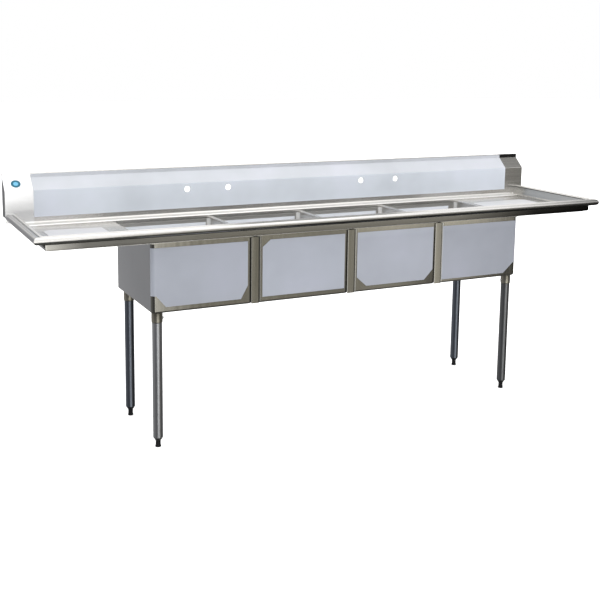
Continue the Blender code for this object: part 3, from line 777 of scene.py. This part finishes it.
def on_bead(place, facing):
    """Whether a face is on top of the front rim's roll, or anywhere on its bead, where the rim gets its
    painted reflection.
    """
    return place.z > RIM_TOP_Z - BEAD_DROP and (facing.z > 0.82 or place.y - FRONT_Y > BEAD_START)


# Faces under the front rim's roll, which get painted shade
def under_roll(place, facing):
    low = RIM_TOP_Z - 2 * ROLL_RADIUS - GAUGE
    return facing.z < -0.35 and place.y - FRONT_Y < VALLEY[0] and place.z > low


def on_rim_line(place, _facing):
    """Whether a face is in the valley beside a side rim's roll, or on the inner edge of its bead, where a
    painted shade line goes.
    """
    inward = END_X - abs(place.x)
    in_valley = VALLEY_LINE[0] < inward < VALLEY_LINE[1]
    on_edge = inward > EDGE_LINE and place.z < RIM_TOP_Z - EDGE_LINE_DROP
    return place.z > RIM_TOP_Z - LINE_DROP and (in_valley or on_edge)


def build_rim():
    corners = [roll_path()[-1], (INNER_WALL, FLOOR_END_Z + 0.009), (INNER_WALL, BOWL_TOP_Z + GAP)]
    path = roll_path()[:-1] + rounded(corners, (0.012,))
    stations = [(path, side_place(side, lambda u: FRONT_Y + u)) for side in (-1, 1)]
    # The front rim darkens towards its right end as painted reflection
    rim = sheet("rolled_rim_front", stations, GAUGE, M["rim_front"], node="rim_front")
    xs = (END_X - 2 * ROLL_RADIUS, END_X - SKIRT_END - SKIRT_FLANGE - GAP)
    ys = (FRONT_Y + SKIRT_FACE, BOWL_FRONT_Y + CUT_DEPTH)
    zs = (BOWL_TOP_Z - CUT_DEPTH, SIDE_SKIRT_TOP_Z + GAP)
    cut_each(rim, [side_box(side, xs, ys, zs) for side in (-1, 1)])
    # Painted reflection on the roll's top and bead, and painted shade under the roll
    paint_light_and_shade(rim, M["rim_bead"], on_bead)
    paint_light_and_shade(rim, M["rim_under"], under_roll)
    corners = [
        roll_path()[-1],
        (SIDE_LEDGE_START, LEDGE_Z), (SIDE_LEDGE_END, LEDGE_Z), (SIDE_LEDGE_END, FLOOR_END_Z - 0.003),
    ]
    path = roll_path()[:-1] + rounded(corners, (0.003, 0.003))
    for side, name in SIDES:
        stations = [
            (path, side_place(side, lambda u: FRONT_Y + u)),
            (path, side_place(side, lambda u: SPLASH_Y - 2 * GAP)),
        ]
        # The side rims are darker copies of the deck steel, a painted reflection
        rim = sheet(f"rolled_rim_{name}", stations, GAUGE, M[f"rim_{name}"], node=f"rim_{name}")
        # The left roll is darker as painted reflection
        if side < 0:
            paint_light_and_shade(rim, M["roll_left"], lambda place, facing: place.x < VALLEY[0] - END_X)
        # Painted shade lines in the rims' valleys and at their beads' inner edges
        paint_light_and_shade(rim, M["rim_line"], on_rim_line)


def skirt_path(face, top, lift):
    inner = face + SKIRT_FLANGE
    corners = [(inner, SKIRT_Z + lift), (face, SKIRT_Z + lift), (face, top), (inner, top)]
    return rounded(corners, (0.002, 0.002), 5)


def build_skirts():
    lifts = [(SKIRT_CORNER - x, SKIRT_CORNER - z) for x, z in arc((0, 0), SKIRT_CORNER, 0, 90, ARC_STEPS)]
    spots = [(-1, d, lift) for d, lift in lifts] + [(1, d, lift) for d, lift in lifts[::-1]]
    stations = []
    for side, distance, lift in spots:
        end = END_X - SKIRT_END - GAP - distance
        stations.append((skirt_path(SKIRT_FACE, SKIRT_TOP_Z, lift), front_place(side, end)))
    # The skirt steel carries painted shade under the rim and painted reflection along x
    sheet("skirt_front", stations, GAUGE, M["skirt"], node="apron_front")
    for side, name in SIDES:
        stations = []
        for distance, lift in lifts:
            start = FRONT_Y + SKIRT_FACE + GAP + distance
            place = side_place(side, lambda u, start=start: start + (u - SKIRT_END))
            stations.append((skirt_path(SKIRT_END, SIDE_SKIRT_TOP_Z, 0.7 * lift), place))
        back = side_place(side, lambda u: SPLASH_Y - 2 * GAP)
        stations.append((skirt_path(SKIRT_END, SIDE_SKIRT_TOP_Z, 0), back))
        sheet(f"skirt_{name}", stations, GAUGE, M["skirt"], node=f"apron_{name}")


def floor_span():
    """Where the drainboards' floors and the bowls' dividers start and end, from front to back."""
    return FRONT_Y + INNER_WALL + GAP, LEDGE_FRONT_Y - GAP


def build_drainboards():
    corners = [
        (BLOCK_X - GAUGE, BOWL_TOP_Z + GAP), (BLOCK_X - GAUGE, FLOOR_BOWL_Z),
        (END_X - SIDE_LEDGE_END - GAP, FLOOR_END_Z),
    ]
    path = rounded(corners, (EDGE_RADIUS,))
    for side, name in SIDES:
        run = [(side * x, z) for x, z in path]
        stations = [(run, along_y(y)) for y in floor_span()]
        sheet(f"drain_floor_{name}", stations, side * GAUGE, M["deck_x"], node=f"drainboard_{name}")


# Backsplash and its film


def build_splash():
    corners = [
        (LEDGE_FRONT_Y, BOWL_TOP_Z + GAP), (LEDGE_FRONT_Y, LEDGE_Z),
        (SPLASH_Y, LEDGE_Z), (SPLASH_Y, CREASE_Z),
        (SPLASH_Y + SLOPE_DEPTH, LIP_Z), (SPLASH_Y + SLOPE_DEPTH, TOP_Z),
        (WALL_Y, TOP_Z), (WALL_Y, WALL_RETURN_Z),
    ]
    path = rounded(corners, (0.006, COVE_RADIUS, 0.003, 0.003, 0.0025, 0.0025))
    stations = [(path, along_x(x)) for x in (-END_X, FILM_LEFT, FILM_RIGHT, END_X)]
    splash = sheet("splash_sheet", stations, GAUGE, M["splash"], node="backsplash")
    xs = (END_X + CUT_DEPTH, END_X - SIDE_LEDGE_END - GAP)
    ys = (LEDGE_FRONT_Y - CUT_DEPTH, SPLASH_Y - GAP)
    zs = (BOWL_TOP_Z - CUT_DEPTH, RIM_TOP_Z)
    cut_each(splash, [side_box(side, xs, ys, zs) for side in (-1, 1)])
    cut_each(splash, [hole_rings(x) for x in faucet_holes()])
    # Painted reflections on the bare ends: bright on the left end, dark on the right slope and black on the
    # right lip
    paint_light_and_shade(splash, M["splash_left"], lambda place, facing: place.x < FILM_LEFT and facing.y < 0.1
                 and place.y < LEFT_REFLECTION_BACK_Y)
    paint_light_and_shade(splash, M["slope_right"], lambda place, facing: place.x > FILM_RIGHT and facing.z > 0.5
                 and CREASE_Z < place.z < LIP_Z)
    paint_light_and_shade(splash, M["lip_right"], lambda place, facing: place.x > FILM_RIGHT and facing.y < -0.5
                 and place.z > LIP_Z)
    # Painted highlight on the ledge's top
    paint_light_and_shade(splash, M["ledge"], lambda place, facing: place.z < LEDGE_Z + 0.002 and facing.z > 0.5)
    inner = GAUGE + GAP
    outline = [
        (SPLASH_Y + inner, CAP_FOOT_Z), (SPLASH_Y + inner, CREASE_Z - inner / 3),
        (SPLASH_Y + SLOPE_DEPTH + inner, LIP_Z - inner / 3),
        (SPLASH_Y + SLOPE_DEPTH + inner, TOP_Z - inner), (WALL_Y - inner, TOP_Z - inner),
        (WALL_Y - inner, CAP_FOOT_Z),
    ]
    for side, name in SIDES:
        rings = [[(side * x, y, z) for y, z in outline] for x in (END_X, END_X - GAUGE)]
        # The end caps are darker than the splash as painted shade, the left one darker still
        mat = M["cap_left" if side < 0 else "end_cap"]
        ring_piece(f"end_cap_{name}", rings, mat, closed=False, node=f"splash_end_cap_{name}",
                   slot="sheet_steel")


def build_label():
    """A plain round sticker near the left end of the slope: a light centre in a blue ring."""
    run = Vector((0, SLOPE_DEPTH, LIP_Z - CREASE_Z)).normalized()
    out = Vector((0, -run.z, run.y))
    middle = Vector((STICKER_X, SPLASH_Y + STICKER_RISE, CREASE_Z + STICKER_RISE * run.z / run.y))
    across = Vector((1, 0, 0))
    for name, start, stop, mat in STICKER_PARTS:
        rings = []
        for turn in range(STICKER_STEPS):
            angle = radians(360 / STICKER_STEPS * turn)
            spoke = across * cos(angle) + run * sin(angle)
            near = spoke * start
            far = spoke * stop
            ends = (near + out * GAP, far + out * GAP, far + out * (GAP + FILM), near + out * (GAP + FILM))
            rings.append([tuple(middle + end) for end in ends])
        ring_piece(f"sticker_{name}", rings, M[mat], slot="blue_film")


def splash_film_path():
    corners = [
        (SPLASH_Y, FILM_FOOT_Z), (SPLASH_Y, CREASE_Z),
        (SPLASH_Y + SLOPE_DEPTH, LIP_Z), (SPLASH_Y + SLOPE_DEPTH, TOP_Z - 0.004),
    ]
    return rounded(corners, (0.003, 0.003))


def build_splash_film():
    """One folded film sheet, its right end lifted off the steel in a thin curl."""
    path = splash_film_path()
    stations = [(offset(path, -GAP - FILM - lift), along_x(x)) for x, lift in SPLASH_FILM_LIFTS]
    # The splash film darkens towards its ends as painted shade
    film = sheet("splash_film", stations, FILM, M["splash_film"], node="film_splash", slot="blue_film")
    cut_each(film, [hole_rings(x, HOLE_RADIUS + 2 * GAP) for x in faucet_holes()])
    # The film on the slope and lip is a darker copy, a painted shade
    paint_light_and_shade(film, M["slope_film"], lambda place, facing: place.z > CREASE_Z)


# Bowls


def rounded_ring(centre, half_x, half_y, radius, z):
    ring = []
    for corner, (sx, sy) in enumerate(((1, 1), (-1, 1), (-1, -1), (1, -1))):
        middle = (centre[0] + sx * (half_x - radius), centre[1] + sy * (half_y - radius))
        ring += [(x, y, z) for x, y in arc(middle, radius, corner * 90, corner * 90 + 90, CORNER_STEPS)]
    return ring


def bowl_ring(x, inset, radius, z):
    half_x = BOWL_WIDTH / 2 - inset
    half_y = (BOWL_BACK_Y - BOWL_FRONT_Y) / 2 - inset
    return rounded_ring((x, BOWL_Y), half_x, half_y, radius, z)


def bowl_skin(x, inset, lift):
    """Rings down a bowl's foot bend and across its floor to the drain hole."""
    radius = BOWL_CORNER - inset
    foot = BOWL_FOOT_RADIUS - inset
    rings = []
    for across, height in arc((0, 0), foot, 0, 90, 7):
        reach = inset + foot - across
        rings.append(bowl_ring(x, reach, radius - (foot - across), BOWL_BOTTOM_Z + lift + foot - height))
    rings.append(bowl_ring(x, BOWL_FLAT_BORDER, 0.02, BOWL_BOTTOM_Z + lift))
    for reach in (DRAIN_LAND, DRAIN_HOLE):
        z = BOWL_BOTTOM_Z - BOWL_FALL + lift
        rings.append(circle((x, BOWL_Y), reach, z, 4 * (CORNER_STEPS + 1)))
    return rings


def paint_bowl_light_and_shade(shell, number, middle):
    """Painted light inside the bowl, painted highlights in its inner corners, painted shade on its outer
    front-left corner, and on bowl 1 a painted reflection on its left side. middle is a place on the bowl's
    axis.
    """

    def inside(place, facing):
        return facing.dot(middle - place) > 0.02

    def outer_wall(place, facing):
        return facing.dot(middle - place) < 0 and abs(facing.z) < 0.1

    # Painted light inside the bowl, and painted highlights in its inner corners
    paint_light_and_shade(shell, M["bowl_inside"], lambda place, facing: inside(place, facing) or facing.z > 0.7)
    paint_light_and_shade(shell, M["corner"], lambda place, facing: inside(place, facing)
                 and min(abs(facing.x), abs(facing.y)) > 0.2 and abs(facing.z) < 0.1)
    # Painted shade on the outer front-left corner
    left_corner = M["bowl_corner" if number == 1 else "seam_edge"]
    paint_light_and_shade(shell, left_corner, lambda place, facing: outer_wall(place, facing)
                 and facing.x < -0.05 and facing.y < -0.2)
    # Bowl 1's left side: a greyer copy as painted reflection
    if number == 1:
        paint_light_and_shade(shell, M["bowl_side"], lambda place, facing: outer_wall(place, facing)
                     and facing.x < -0.98)


def build_bowl(number, x):
    outer = [
        bowl_ring(x, 0, RIM_CORNER, BOWL_TOP_Z),
        bowl_ring(x, 0, RIM_CORNER, BOWL_TOP_Z - GAUGE),
        bowl_ring(x, 0, BOWL_CORNER, BOWL_TOP_Z - 2 * GAUGE),
    ]
    outer += bowl_skin(x, 0, 0)
    inner = [bowl_ring(x, GAUGE, BOWL_CORNER - GAUGE, BOWL_TOP_Z)] + bowl_skin(x, GAUGE, GAUGE)
    # Olive painted reflection, lighter to the right and at the top, the right bowls lighter at their tops
    mat = M["bowl" if number < 3 else "bowl_right"]
    shell = ring_piece(f"bowl_shell_{number}", outer + inner[::-1], mat, node=f"bowl_{number}",
                       slot="bowl_steel")
    paint_bowl_light_and_shade(shell, number, Vector((x, BOWL_Y, 0)))


def build_dividers():
    """The deck between two bowls, and the strip that covers their seam at the front."""
    for i, x in enumerate(DIVIDER_X):
        corners = [
            (x - DIVIDER_HALF, BOWL_TOP_Z + GAP), (x - DIVIDER_HALF, FLOOR_BOWL_Z),
            (x + DIVIDER_HALF, FLOOR_BOWL_Z), (x + DIVIDER_HALF, BOWL_TOP_Z + GAP),
        ]
        path = rounded(corners, (EDGE_RADIUS, EDGE_RADIUS))
        sheet(f"divider_top_{i + 1}", [(path, along_y(y)) for y in floor_span()], GAUGE, M["deck_y"],
              node=f"divider_{i + 1}")
        half = SEAM_WIDTH / 2
        corners = [
            (x + half, BOWL_FRONT_Y + GAUGE / 2), (x + half - SEAM_EDGE, BOWL_FRONT_Y),
            (x - half + SEAM_EDGE, BOWL_FRONT_Y), (x - half, BOWL_FRONT_Y + GAUGE / 2),
        ]
        heights = (BOWL_BOTTOM_Z, BOWL_TOP_Z - 2 * GAUGE - 2 * GAP)
        path = rounded(corners, (0.002, 0.002), 4)
        seam = sheet(f"seam_cover_{i + 1}", [(path, along_z(z)) for z in heights], GAUGE, M["seam"],
                     node=f"seam_strip_{i + 1}", slot="bowl_steel")
        # Painted shadow on the strip's left edges; the strip itself is olive painted reflection
        paint_light_and_shade(seam, M["seam_edge"], lambda place, facing: facing.x < -0.05)


# Film on the bowls and drainboards


def end_turn(reach):
    """Degrees of the bowl's corner that the film covers."""
    if reach is None:
        return FILM_WRAP
    if reach < BOWL_CORNER:
        return degrees(asin(1 - reach / BOWL_CORNER))
    return 0


def film_front(x, start, stop):
    """The film's ends on the bowl's front. start and stop are distances from the bowl's sides, or None."""
    skin = GAP + FILM
    ends = []
    for side, reach in ((-1, start), (1, stop)):
        turn = end_turn(reach)
        if turn:
            corner = (x + side * (BOWL_WIDTH / 2 - BOWL_CORNER), BOWL_FRONT_Y + BOWL_CORNER)
            ends.append(arc(corner, BOWL_CORNER + skin, 270 + side * turn, 270, 12))
        else:
            ends.append([(x + side * (BOWL_WIDTH / 2 - reach), BOWL_FRONT_Y - skin)])
    return ends[0], ends[1][::-1]


def upright_ring(outer, inner, low, high):
    return [(*outer, low), (*outer, high), (*inner, high), (*inner, low)]


def build_bowl_film(index, x, cut_film):
    """Film on a bowl's front. A corner cut is a (width, height) pair."""
    left, right = film_front(x, cut_film.get("left"), cut_film.get("right"))
    first = left[-1][0]
    last = right[0][0]
    face = left[-1][1]
    cuts = {corner: cut_film.get(corner, (0, 0)) for corner in FILM_CORNERS}
    stops = {first + cuts["bottom_left"][0], first + cuts["top_left"][0]}
    stops |= {last - cuts["bottom_right"][0], last - cuts["top_right"][0]}
    path = left + [(s, face) for s in sorted(stops) if first < s < last] + right
    rings = []
    for outer, inner in zip(path, offset(path, -FILM)):
        bites = {}
        for corner, (width, height) in cuts.items():
            reach = outer[0] - first if corner.endswith("left") else last - outer[0]
            bites[corner] = height * (1 - max(reach, 0) / width) if width and reach < width else 0
        low = cut_film.get("low", FILM_LOW_Z) + max(bites["bottom_left"], bites["bottom_right"])
        high = FILM_HIGH_Z - max(bites["top_left"], bites["top_right"])
        rings.append(upright_ring(outer, inner, low, high))
    # The front films darken towards the sink's ends as painted shade, the right one lighter at its top as
    # painted light
    mat = M["film" if index < 3 else "film_right"]
    ring_piece(f"front_film_{index}", rings, mat, closed=False, node=f"film_bowl_{index}",
               slot="blue_film")


def build_inner_film(index, x):
    """Film left on the bowl's back wall, short of its corners and its top edge."""
    face = BOWL_BACK_Y - GAUGE - GAP - FILM
    half = BOWL_WIDTH / 2
    left, right = BACK_FILM_MARGINS[index - 1]
    rings = []
    for across, bite in ((-half + left, BACK_FILM_CUT), (-half + left + BACK_FILM_CUT, 0), (half - right, 0)):
        outer = (x + across, face)
        inner = (x + across, face + FILM)
        rings.append(upright_ring(outer, inner, BACK_FILM_LOW + bite, BACK_FILM_HIGH))
    # The back-wall film is a pale copy of the front film, as painted light
    ring_piece(f"back_film_{index}", rings, M["inner_film"], closed=False, slot="blue_film")


def build_floor_films():
    """Film on the drainboards' floors, which fall a little towards the bowls."""
    fall = (FLOOR_END_Z - FLOOR_BOWL_Z) / (END_X - SIDE_LEDGE_END - BLOCK_X)
    end = FLOOR_FILM_END
    clip = FLOOR_FILM_CUT
    for side, name, bowl_margin in FLOOR_FILMS:
        rings = []
        for x, bite in ((BLOCK_X + bowl_margin, 0), (end - clip, 0), (end, clip)):
            low = FLOOR_BOWL_Z + fall * (x - BLOCK_X) + 2 * GAP
            front = FLOOR_FILM_FRONT + bite
            back = FLOOR_FILM_BACK - bite
            rings.append([
                (side * x, front, low), (side * x, back, low),
                (side * x, back, low + FILM), (side * x, front, low + FILM),
            ])
        ring_piece(f"floor_film_{name}", rings, M["pale_film"], closed=False,
                   node=f"film_drainboard_{name}", slot="blue_film")


# Legs and feet


def build_socket(name, x, y):
    low = BOWL_BOTTOM_Z - SOCKET_HEIGHT
    high = BOWL_BOTTOM_Z - GAP
    bore = LEG_RADIUS + GAP
    profile = [
        (SOCKET_RADIUS - 0.0017, low), (SOCKET_RADIUS - 0.0004, low + 0.0022),
        (SOCKET_RADIUS, low + 0.005), (SOCKET_RADIUS, high - 0.003),
        (SOCKET_RADIUS + 0.0012, high), (bore, high), (bore, low),
    ]
    turned(f"socket_{name}", profile, (x, y), M["socket"], node=f"leg_socket_{name}", slot="tube_steel")


def build_screw(name, x, y):
    """A six-sided screw head on the socket's inner side."""
    inward = -copysign(1, x)
    centre_z = BOWL_BOTTOM_Z - 0.6 * SOCKET_HEIGHT
    rings = []
    for share, rise in SCREW_HEAD:
        radius = share * SCREW_HEAD_RADIUS
        out = SOCKET_RADIUS + GAP + rise
        ring = []
        for i in range(SCREW_SIDES):
            angle = radians(360 / SCREW_SIDES * i)
            ring.append((x + inward * out, y + radius * cos(angle), centre_z + radius * sin(angle)))
        rings.append(ring)
    ring_piece(f"screw_{name}", rings, M["drain"], closed=False, node=f"set_screw_{name}",
               slot="drain_steel")


def build_tube(name, x, y):
    """The leg's tube, its foot end drawn in around the stem."""
    inner = LEG_RADIUS - LEG_WALL
    top = BOWL_BOTTOM_Z - 0.003
    profile = [
        (LEG_RADIUS, top),
        *arc((LEG_RADIUS - 0.006, LEG_FOOT_Z + 0.014), 0.006, 0, -60, 6),
        (STEM_RADIUS + 0.004, LEG_FOOT_Z + 0.0012), (STEM_RADIUS + 0.0032, LEG_FOOT_Z + GAP),
        (STEM_RADIUS + 0.0012, LEG_FOOT_Z + GAP), (STEM_RADIUS + 0.0012, LEG_FOOT_Z + 0.004),
        (inner - 0.003, LEG_FOOT_Z + 0.009), (inner, LEG_FOOT_Z + 0.016), (inner, top),
    ]
    # The back legs are a darker, bluer copy as painted shade; the front legs lighten to the left as painted
    # light
    mat = M["tube" if name.startswith("front") else "tube_back"]
    turned(f"leg_tube_{name}", profile, (x, y), mat, node=f"leg_{name}", slot="tube_steel")


def build_foot(name, x, y):
    """The foot's round pad and its threaded stem."""
    core = STEM_RADIUS - THREAD_DEPTH
    profile = [
        (0.0060, 0.0), (FOOT_RADIUS - 0.001, 0.0),
        (FOOT_RADIUS + 0.001, 0.0007), (FOOT_RADIUS + 0.0015, 0.0022),
        (FOOT_RADIUS + 0.0015, 0.0050), (FOOT_RADIUS, 0.0090),
        (FOOT_RADIUS, LEG_FOOT_Z - 0.0008), (FOOT_RADIUS - 0.0008, LEG_FOOT_Z), (core, LEG_FOOT_Z),
    ]
    for i in range(THREADS):
        base = LEG_FOOT_Z + 0.001 + i * THREAD_PITCH
        profile += [(core, base), (STEM_RADIUS, base + THREAD_PITCH / 2)]
    profile += [(STEM_RADIUS - 0.002, LEG_FOOT_Z + 0.053), (STEM_RADIUS - 0.003, LEG_FOOT_Z + 0.055)]
    turned(f"foot_pad_{name}", profile, (x, y), M["foot"], closed=False, body=f"foot_{name}",
           node=f"foot_{name}", slot="foot_plastic")


# Drains


def build_cup(index, centre):
    """The drain's cup, with its flange in the bowl and its outlet below."""
    top = FLANGE_TOP_Z
    seat = CUP_SEAT_Z
    cup_in = CUP_RADIUS - CUP_WALL
    out_in = OUTLET_RADIUS - CUP_WALL
    profile = [
        (FLANGE_RADIUS, top - 0.0008), (FLANGE_RADIUS - 0.0005, DRAIN_TOP_Z + GAP),
        (CUP_RADIUS, DRAIN_TOP_Z + GAP), (CUP_RADIUS, seat + 0.002),
        (CUP_RADIUS - 0.002, seat), (OUTLET_RADIUS, seat - 0.005),
        (OUTLET_RADIUS, OUTLET_Z), (out_in, OUTLET_Z),
        (out_in, seat - 0.004), (cup_in - 0.001, seat + 0.002),
        (cup_in, seat + 0.004), (cup_in, top - 0.004),
        (cup_in + 0.0007, top - 0.0012), (cup_in + 0.0025, top),
        (FLANGE_RADIUS - 0.002, top), (FLANGE_RADIUS - 0.0006, top - 0.0002),
    ]
    turned(f"drain_cup_{index}", profile, centre, M["drain"], node=f"drain_body_{index}",
           slot="drain_steel")


def build_gasket(index, centre):
    low = GASKET_TOP_Z - GASKET_THICKNESS
    profile = [
        (FLANGE_RADIUS - 0.0015, GASKET_TOP_Z), (FLANGE_RADIUS - 0.001, GASKET_TOP_Z - 0.0005),
        (FLANGE_RADIUS - 0.001, GASKET_TOP_Z - 0.0025), (FLANGE_RADIUS - 0.0015, low),
        (CUP_RADIUS + GAP, low), (CUP_RADIUS + GAP, GASKET_TOP_Z),
    ]
    turned(f"gasket_{index}", profile, centre, M["rubber"], node=f"drain_gasket_{index}",
           slot="gasket_rubber")


def nut_radius(step):
    """The locknut's radius round its edge, with a lug for each of its wrench grips."""
    lug = min(1, max(0, 2.2 * cos(2 * pi * NUT_LUGS * step / NUT_STEPS) + 0.5))
    return FLANGE_RADIUS - 0.002 + LUG_DEPTH * lug


def build_locknut(index, centre):
    top = GASKET_TOP_Z - GASKET_THICKNESS - GAP
    low = top - NUT_HEIGHT
    outer = ((top, -NUT_EASE), (top - 0.001, 0), (top - 0.009, 0), (low, -NUT_EASE))
    steps = range(NUT_STEPS)
    levels = [([nut_radius(step) + ease for step in steps], z) for z, ease in outer]
    levels += [([CUP_RADIUS + GAP] * NUT_STEPS, z) for z in (low, top)]
    angles = [2 * pi * (step + 0.5) / NUT_STEPS for step in steps]
    rings = []
    for radii, z in levels:
        rings.append([(centre[0] + r * cos(a), centre[1] + r * sin(a), z) for r, a in zip(radii, angles)])
    ring_piece(f"locknut_{index}", rings, M["brass"], node=f"drain_locknut_{index}", slot="nut_brass")


def build_basket(index, centre):
    """The strainer basket: a lipped cup with holes in its floor and a knob in its middle."""
    floor = CUP_SEAT_Z + 0.006
    side = CUP_RADIUS - CUP_WALL - 0.0012
    lip = FLANGE_TOP_Z + GAP
    profile = [
        (side - 0.003, floor), (side - 0.0009, floor + 0.0009), (side, floor + 0.003), (side, lip),
        (FLANGE_RADIUS - 0.008, lip), (FLANGE_RADIUS - 0.008, lip + 0.0012),
        (side - BASKET_WALL, lip + 0.0012), (side - BASKET_WALL, floor + 0.004),
        (side - 0.004, floor + BASKET_WALL),
        *[(radius, floor + rise) for radius, rise in KNOB],
    ]
    basket = turned(f"basket_{index}", profile, centre, M["drain"], closed=False, body=f"basket_{index}",
                    node=f"strainer_basket_{index}", slot="drain_steel")
    depths = (floor - 0.004, floor + 0.003)
    drills = []
    for radius, count in DRILL_CIRCLES:
        for i in range(count):
            angle = 2 * pi * i / count
            spot = (centre[0] + radius * cos(angle), centre[1] + radius * sin(angle))
            drills.append([circle(spot, DRILL_RADIUS, z, DRILL_STEPS) for z in depths])
    cut(basket, drills)


# Stage, light and camera


def build_floor():
    mesh = bpy.data.meshes.new("floor")
    corners = [(x * FLOOR_HALF, y * FLOOR_HALF, 0) for x, y in ((-1, -1), (1, -1), (1, 1), (-1, 1))]
    mesh.from_pydata(corners, [], [(0, 1, 2, 3)])
    mat = new_material("pale_floor", (0.90, 0.90, 0.90), 0.0, 0.9)
    tint = ramp(mat, noise_field(mat, 40, 2), [(0.3, 0.89), (0.7, 0.91)])
    link(mat, tint, "Color", shader_of(mat), "Base Color")
    set_inputs(shader_of(mat), {"Emission Color": (1, 1, 1, 1), "Emission Strength": 0.5})
    mesh.materials.append(mat)
    floor = in_scene("floor", mesh)
    floor.visible_glossy = False


def build_backdrop():
    """A white dome that only the camera sees, so that the room's lights and dark corners stay out of view."""
    mesh = bpy.data.meshes.new("backdrop")
    ball = bmesh.new()
    bmesh.ops.create_icosphere(ball, subdivisions=4, radius=DOME_RADIUS)
    ball.to_mesh(mesh)
    ball.free()
    mat = bpy.data.materials.new("white_backdrop")
    mat.use_nodes = True
    mat.node_tree.nodes.clear()
    surface = add_node(mat, "OutputMaterial")
    glow = add_node(mat, "Emission", {"Color": (1, 1, 1, 1), "Strength": 1.0})
    link(mat, glow, "Emission", surface, "Surface")
    mesh.materials.append(mat)
    dome = in_scene("backdrop", mesh)
    for sight in ("diffuse", "glossy", "transmission", "volume_scatter", "shadow"):
        setattr(dome, f"visible_{sight}", False)


def build_room():
    """The room around the sink: a soft window in front of its left end, dark corners, a bright ceiling."""
    world = bpy.data.worlds.new("studio_room")
    world.use_nodes = True
    place = add_node(world, "TexCoord")
    split = add_node(world, "SeparateXYZ")
    link(world, place, "Generated", split, "Vector")
    front = add_node(world, "Math", {1: -1.0}, operation="MULTIPLY")
    link(world, split, "Y", front, 0)
    heading = add_node(world, "Math", operation="ARCTAN2")
    link(world, split, "X", heading, 0)
    link(world, front, "Value", heading, 1)
    turn = add_node(world, "MapRange", {"From Min": -pi, "From Max": pi})
    link(world, heading, "Value", turn, "Value")
    layers = [
        ramp(world, turn, [((angle + 180) / 360, colour) for angle, colour in glow], "Result")
        for glow in (LOW_WALL_GLOW, WALL_GLOW, UPPER_GLOW)
    ]
    layers.append(ramp(world, split, CEILING_GLOW, "X"))
    below = None
    for layer, (start, stop) in zip(layers, ROOM_BANDS):
        height = add_node(world, "MapRange", {"From Min": start, "From Max": stop})
        link(world, split, "Z", height, "Value")
        mix = add_node(world, "Mix", data_type="RGBA")
        link(world, height, "Result", mix, "Factor")
        if below:
            link(world, below, MIX_RESULT, mix, MIX_A)
        else:
            mix.inputs[MIX_A].default_value = (*FLOOR_GLOW, 1)
        link(world, layer, "Color", mix, MIX_B)
        below = mix
    background = world.node_tree.nodes["Background"]
    link(world, below, MIX_RESULT, background, "Color")
    background.inputs["Strength"].default_value = ROOM_STRENGTH
    bpy.context.scene.world = world


def build_lamp():
    data = bpy.data.lights.new("overhead", "AREA")
    data.shape = "RECTANGLE"
    data.size, data.size_y = LAMP_SIZE
    data.energy = LAMP_POWER
    lamp = in_scene("overhead", data)
    lamp.location = LAMP_PLACE
    lamp.rotation_euler = (LAMP_TARGET - LAMP_PLACE).to_track_quat("-Z", "Y").to_euler()
    lamp.visible_camera = False


def build_camera():
    yaw, pitch, roll = (radians(a) for a in (CAMERA_YAW, CAMERA_PITCH, CAMERA_ROLL))
    forward = Vector((sin(yaw) * cos(pitch), cos(yaw) * cos(pitch), -sin(pitch)))
    level = Vector((cos(yaw), -sin(yaw), 0))
    up = level.cross(forward)
    right = cos(roll) * level + sin(roll) * up
    top = -sin(roll) * level + cos(roll) * up
    data = bpy.data.cameras.new("camera")
    data.lens = CAMERA_LENS
    data.sensor_width = 36
    data.shift_y = CAMERA_SHIFT_Y
    data.clip_end = CAMERA_FAR
    camera = in_scene("camera", data)
    matrix = Matrix((right, top, -forward)).transposed().to_4x4()
    matrix.translation = CAMERA_PLACE
    camera.matrix_world = matrix
    bpy.context.scene.camera = camera


build_rim()
build_skirts()
build_drainboards()
build_splash()
build_splash_film()
build_label()
for number, bowl_x in enumerate(BOWL_X, 1):
    build_bowl(number, bowl_x)
build_dividers()
build_floor_films()
for leg, (leg_x, leg_y) in LEGS.items():
    for build_part in (build_socket, build_screw, build_tube, build_foot):
        build_part(leg, leg_x, leg_y)
for number, bowl_x in enumerate(BOWL_X, 1):
    for build_part in (build_cup, build_gasket, build_locknut, build_basket):
        build_part(number, (bowl_x, BOWL_Y))
    build_bowl_film(number, bowl_x, BOWL_FILMS[number - 1])
    build_inner_film(number, bowl_x)
build_floor()
build_backdrop()
build_room()
build_lamp()
build_camera()
bpy.context.scene.view_settings.view_transform = "Standard"
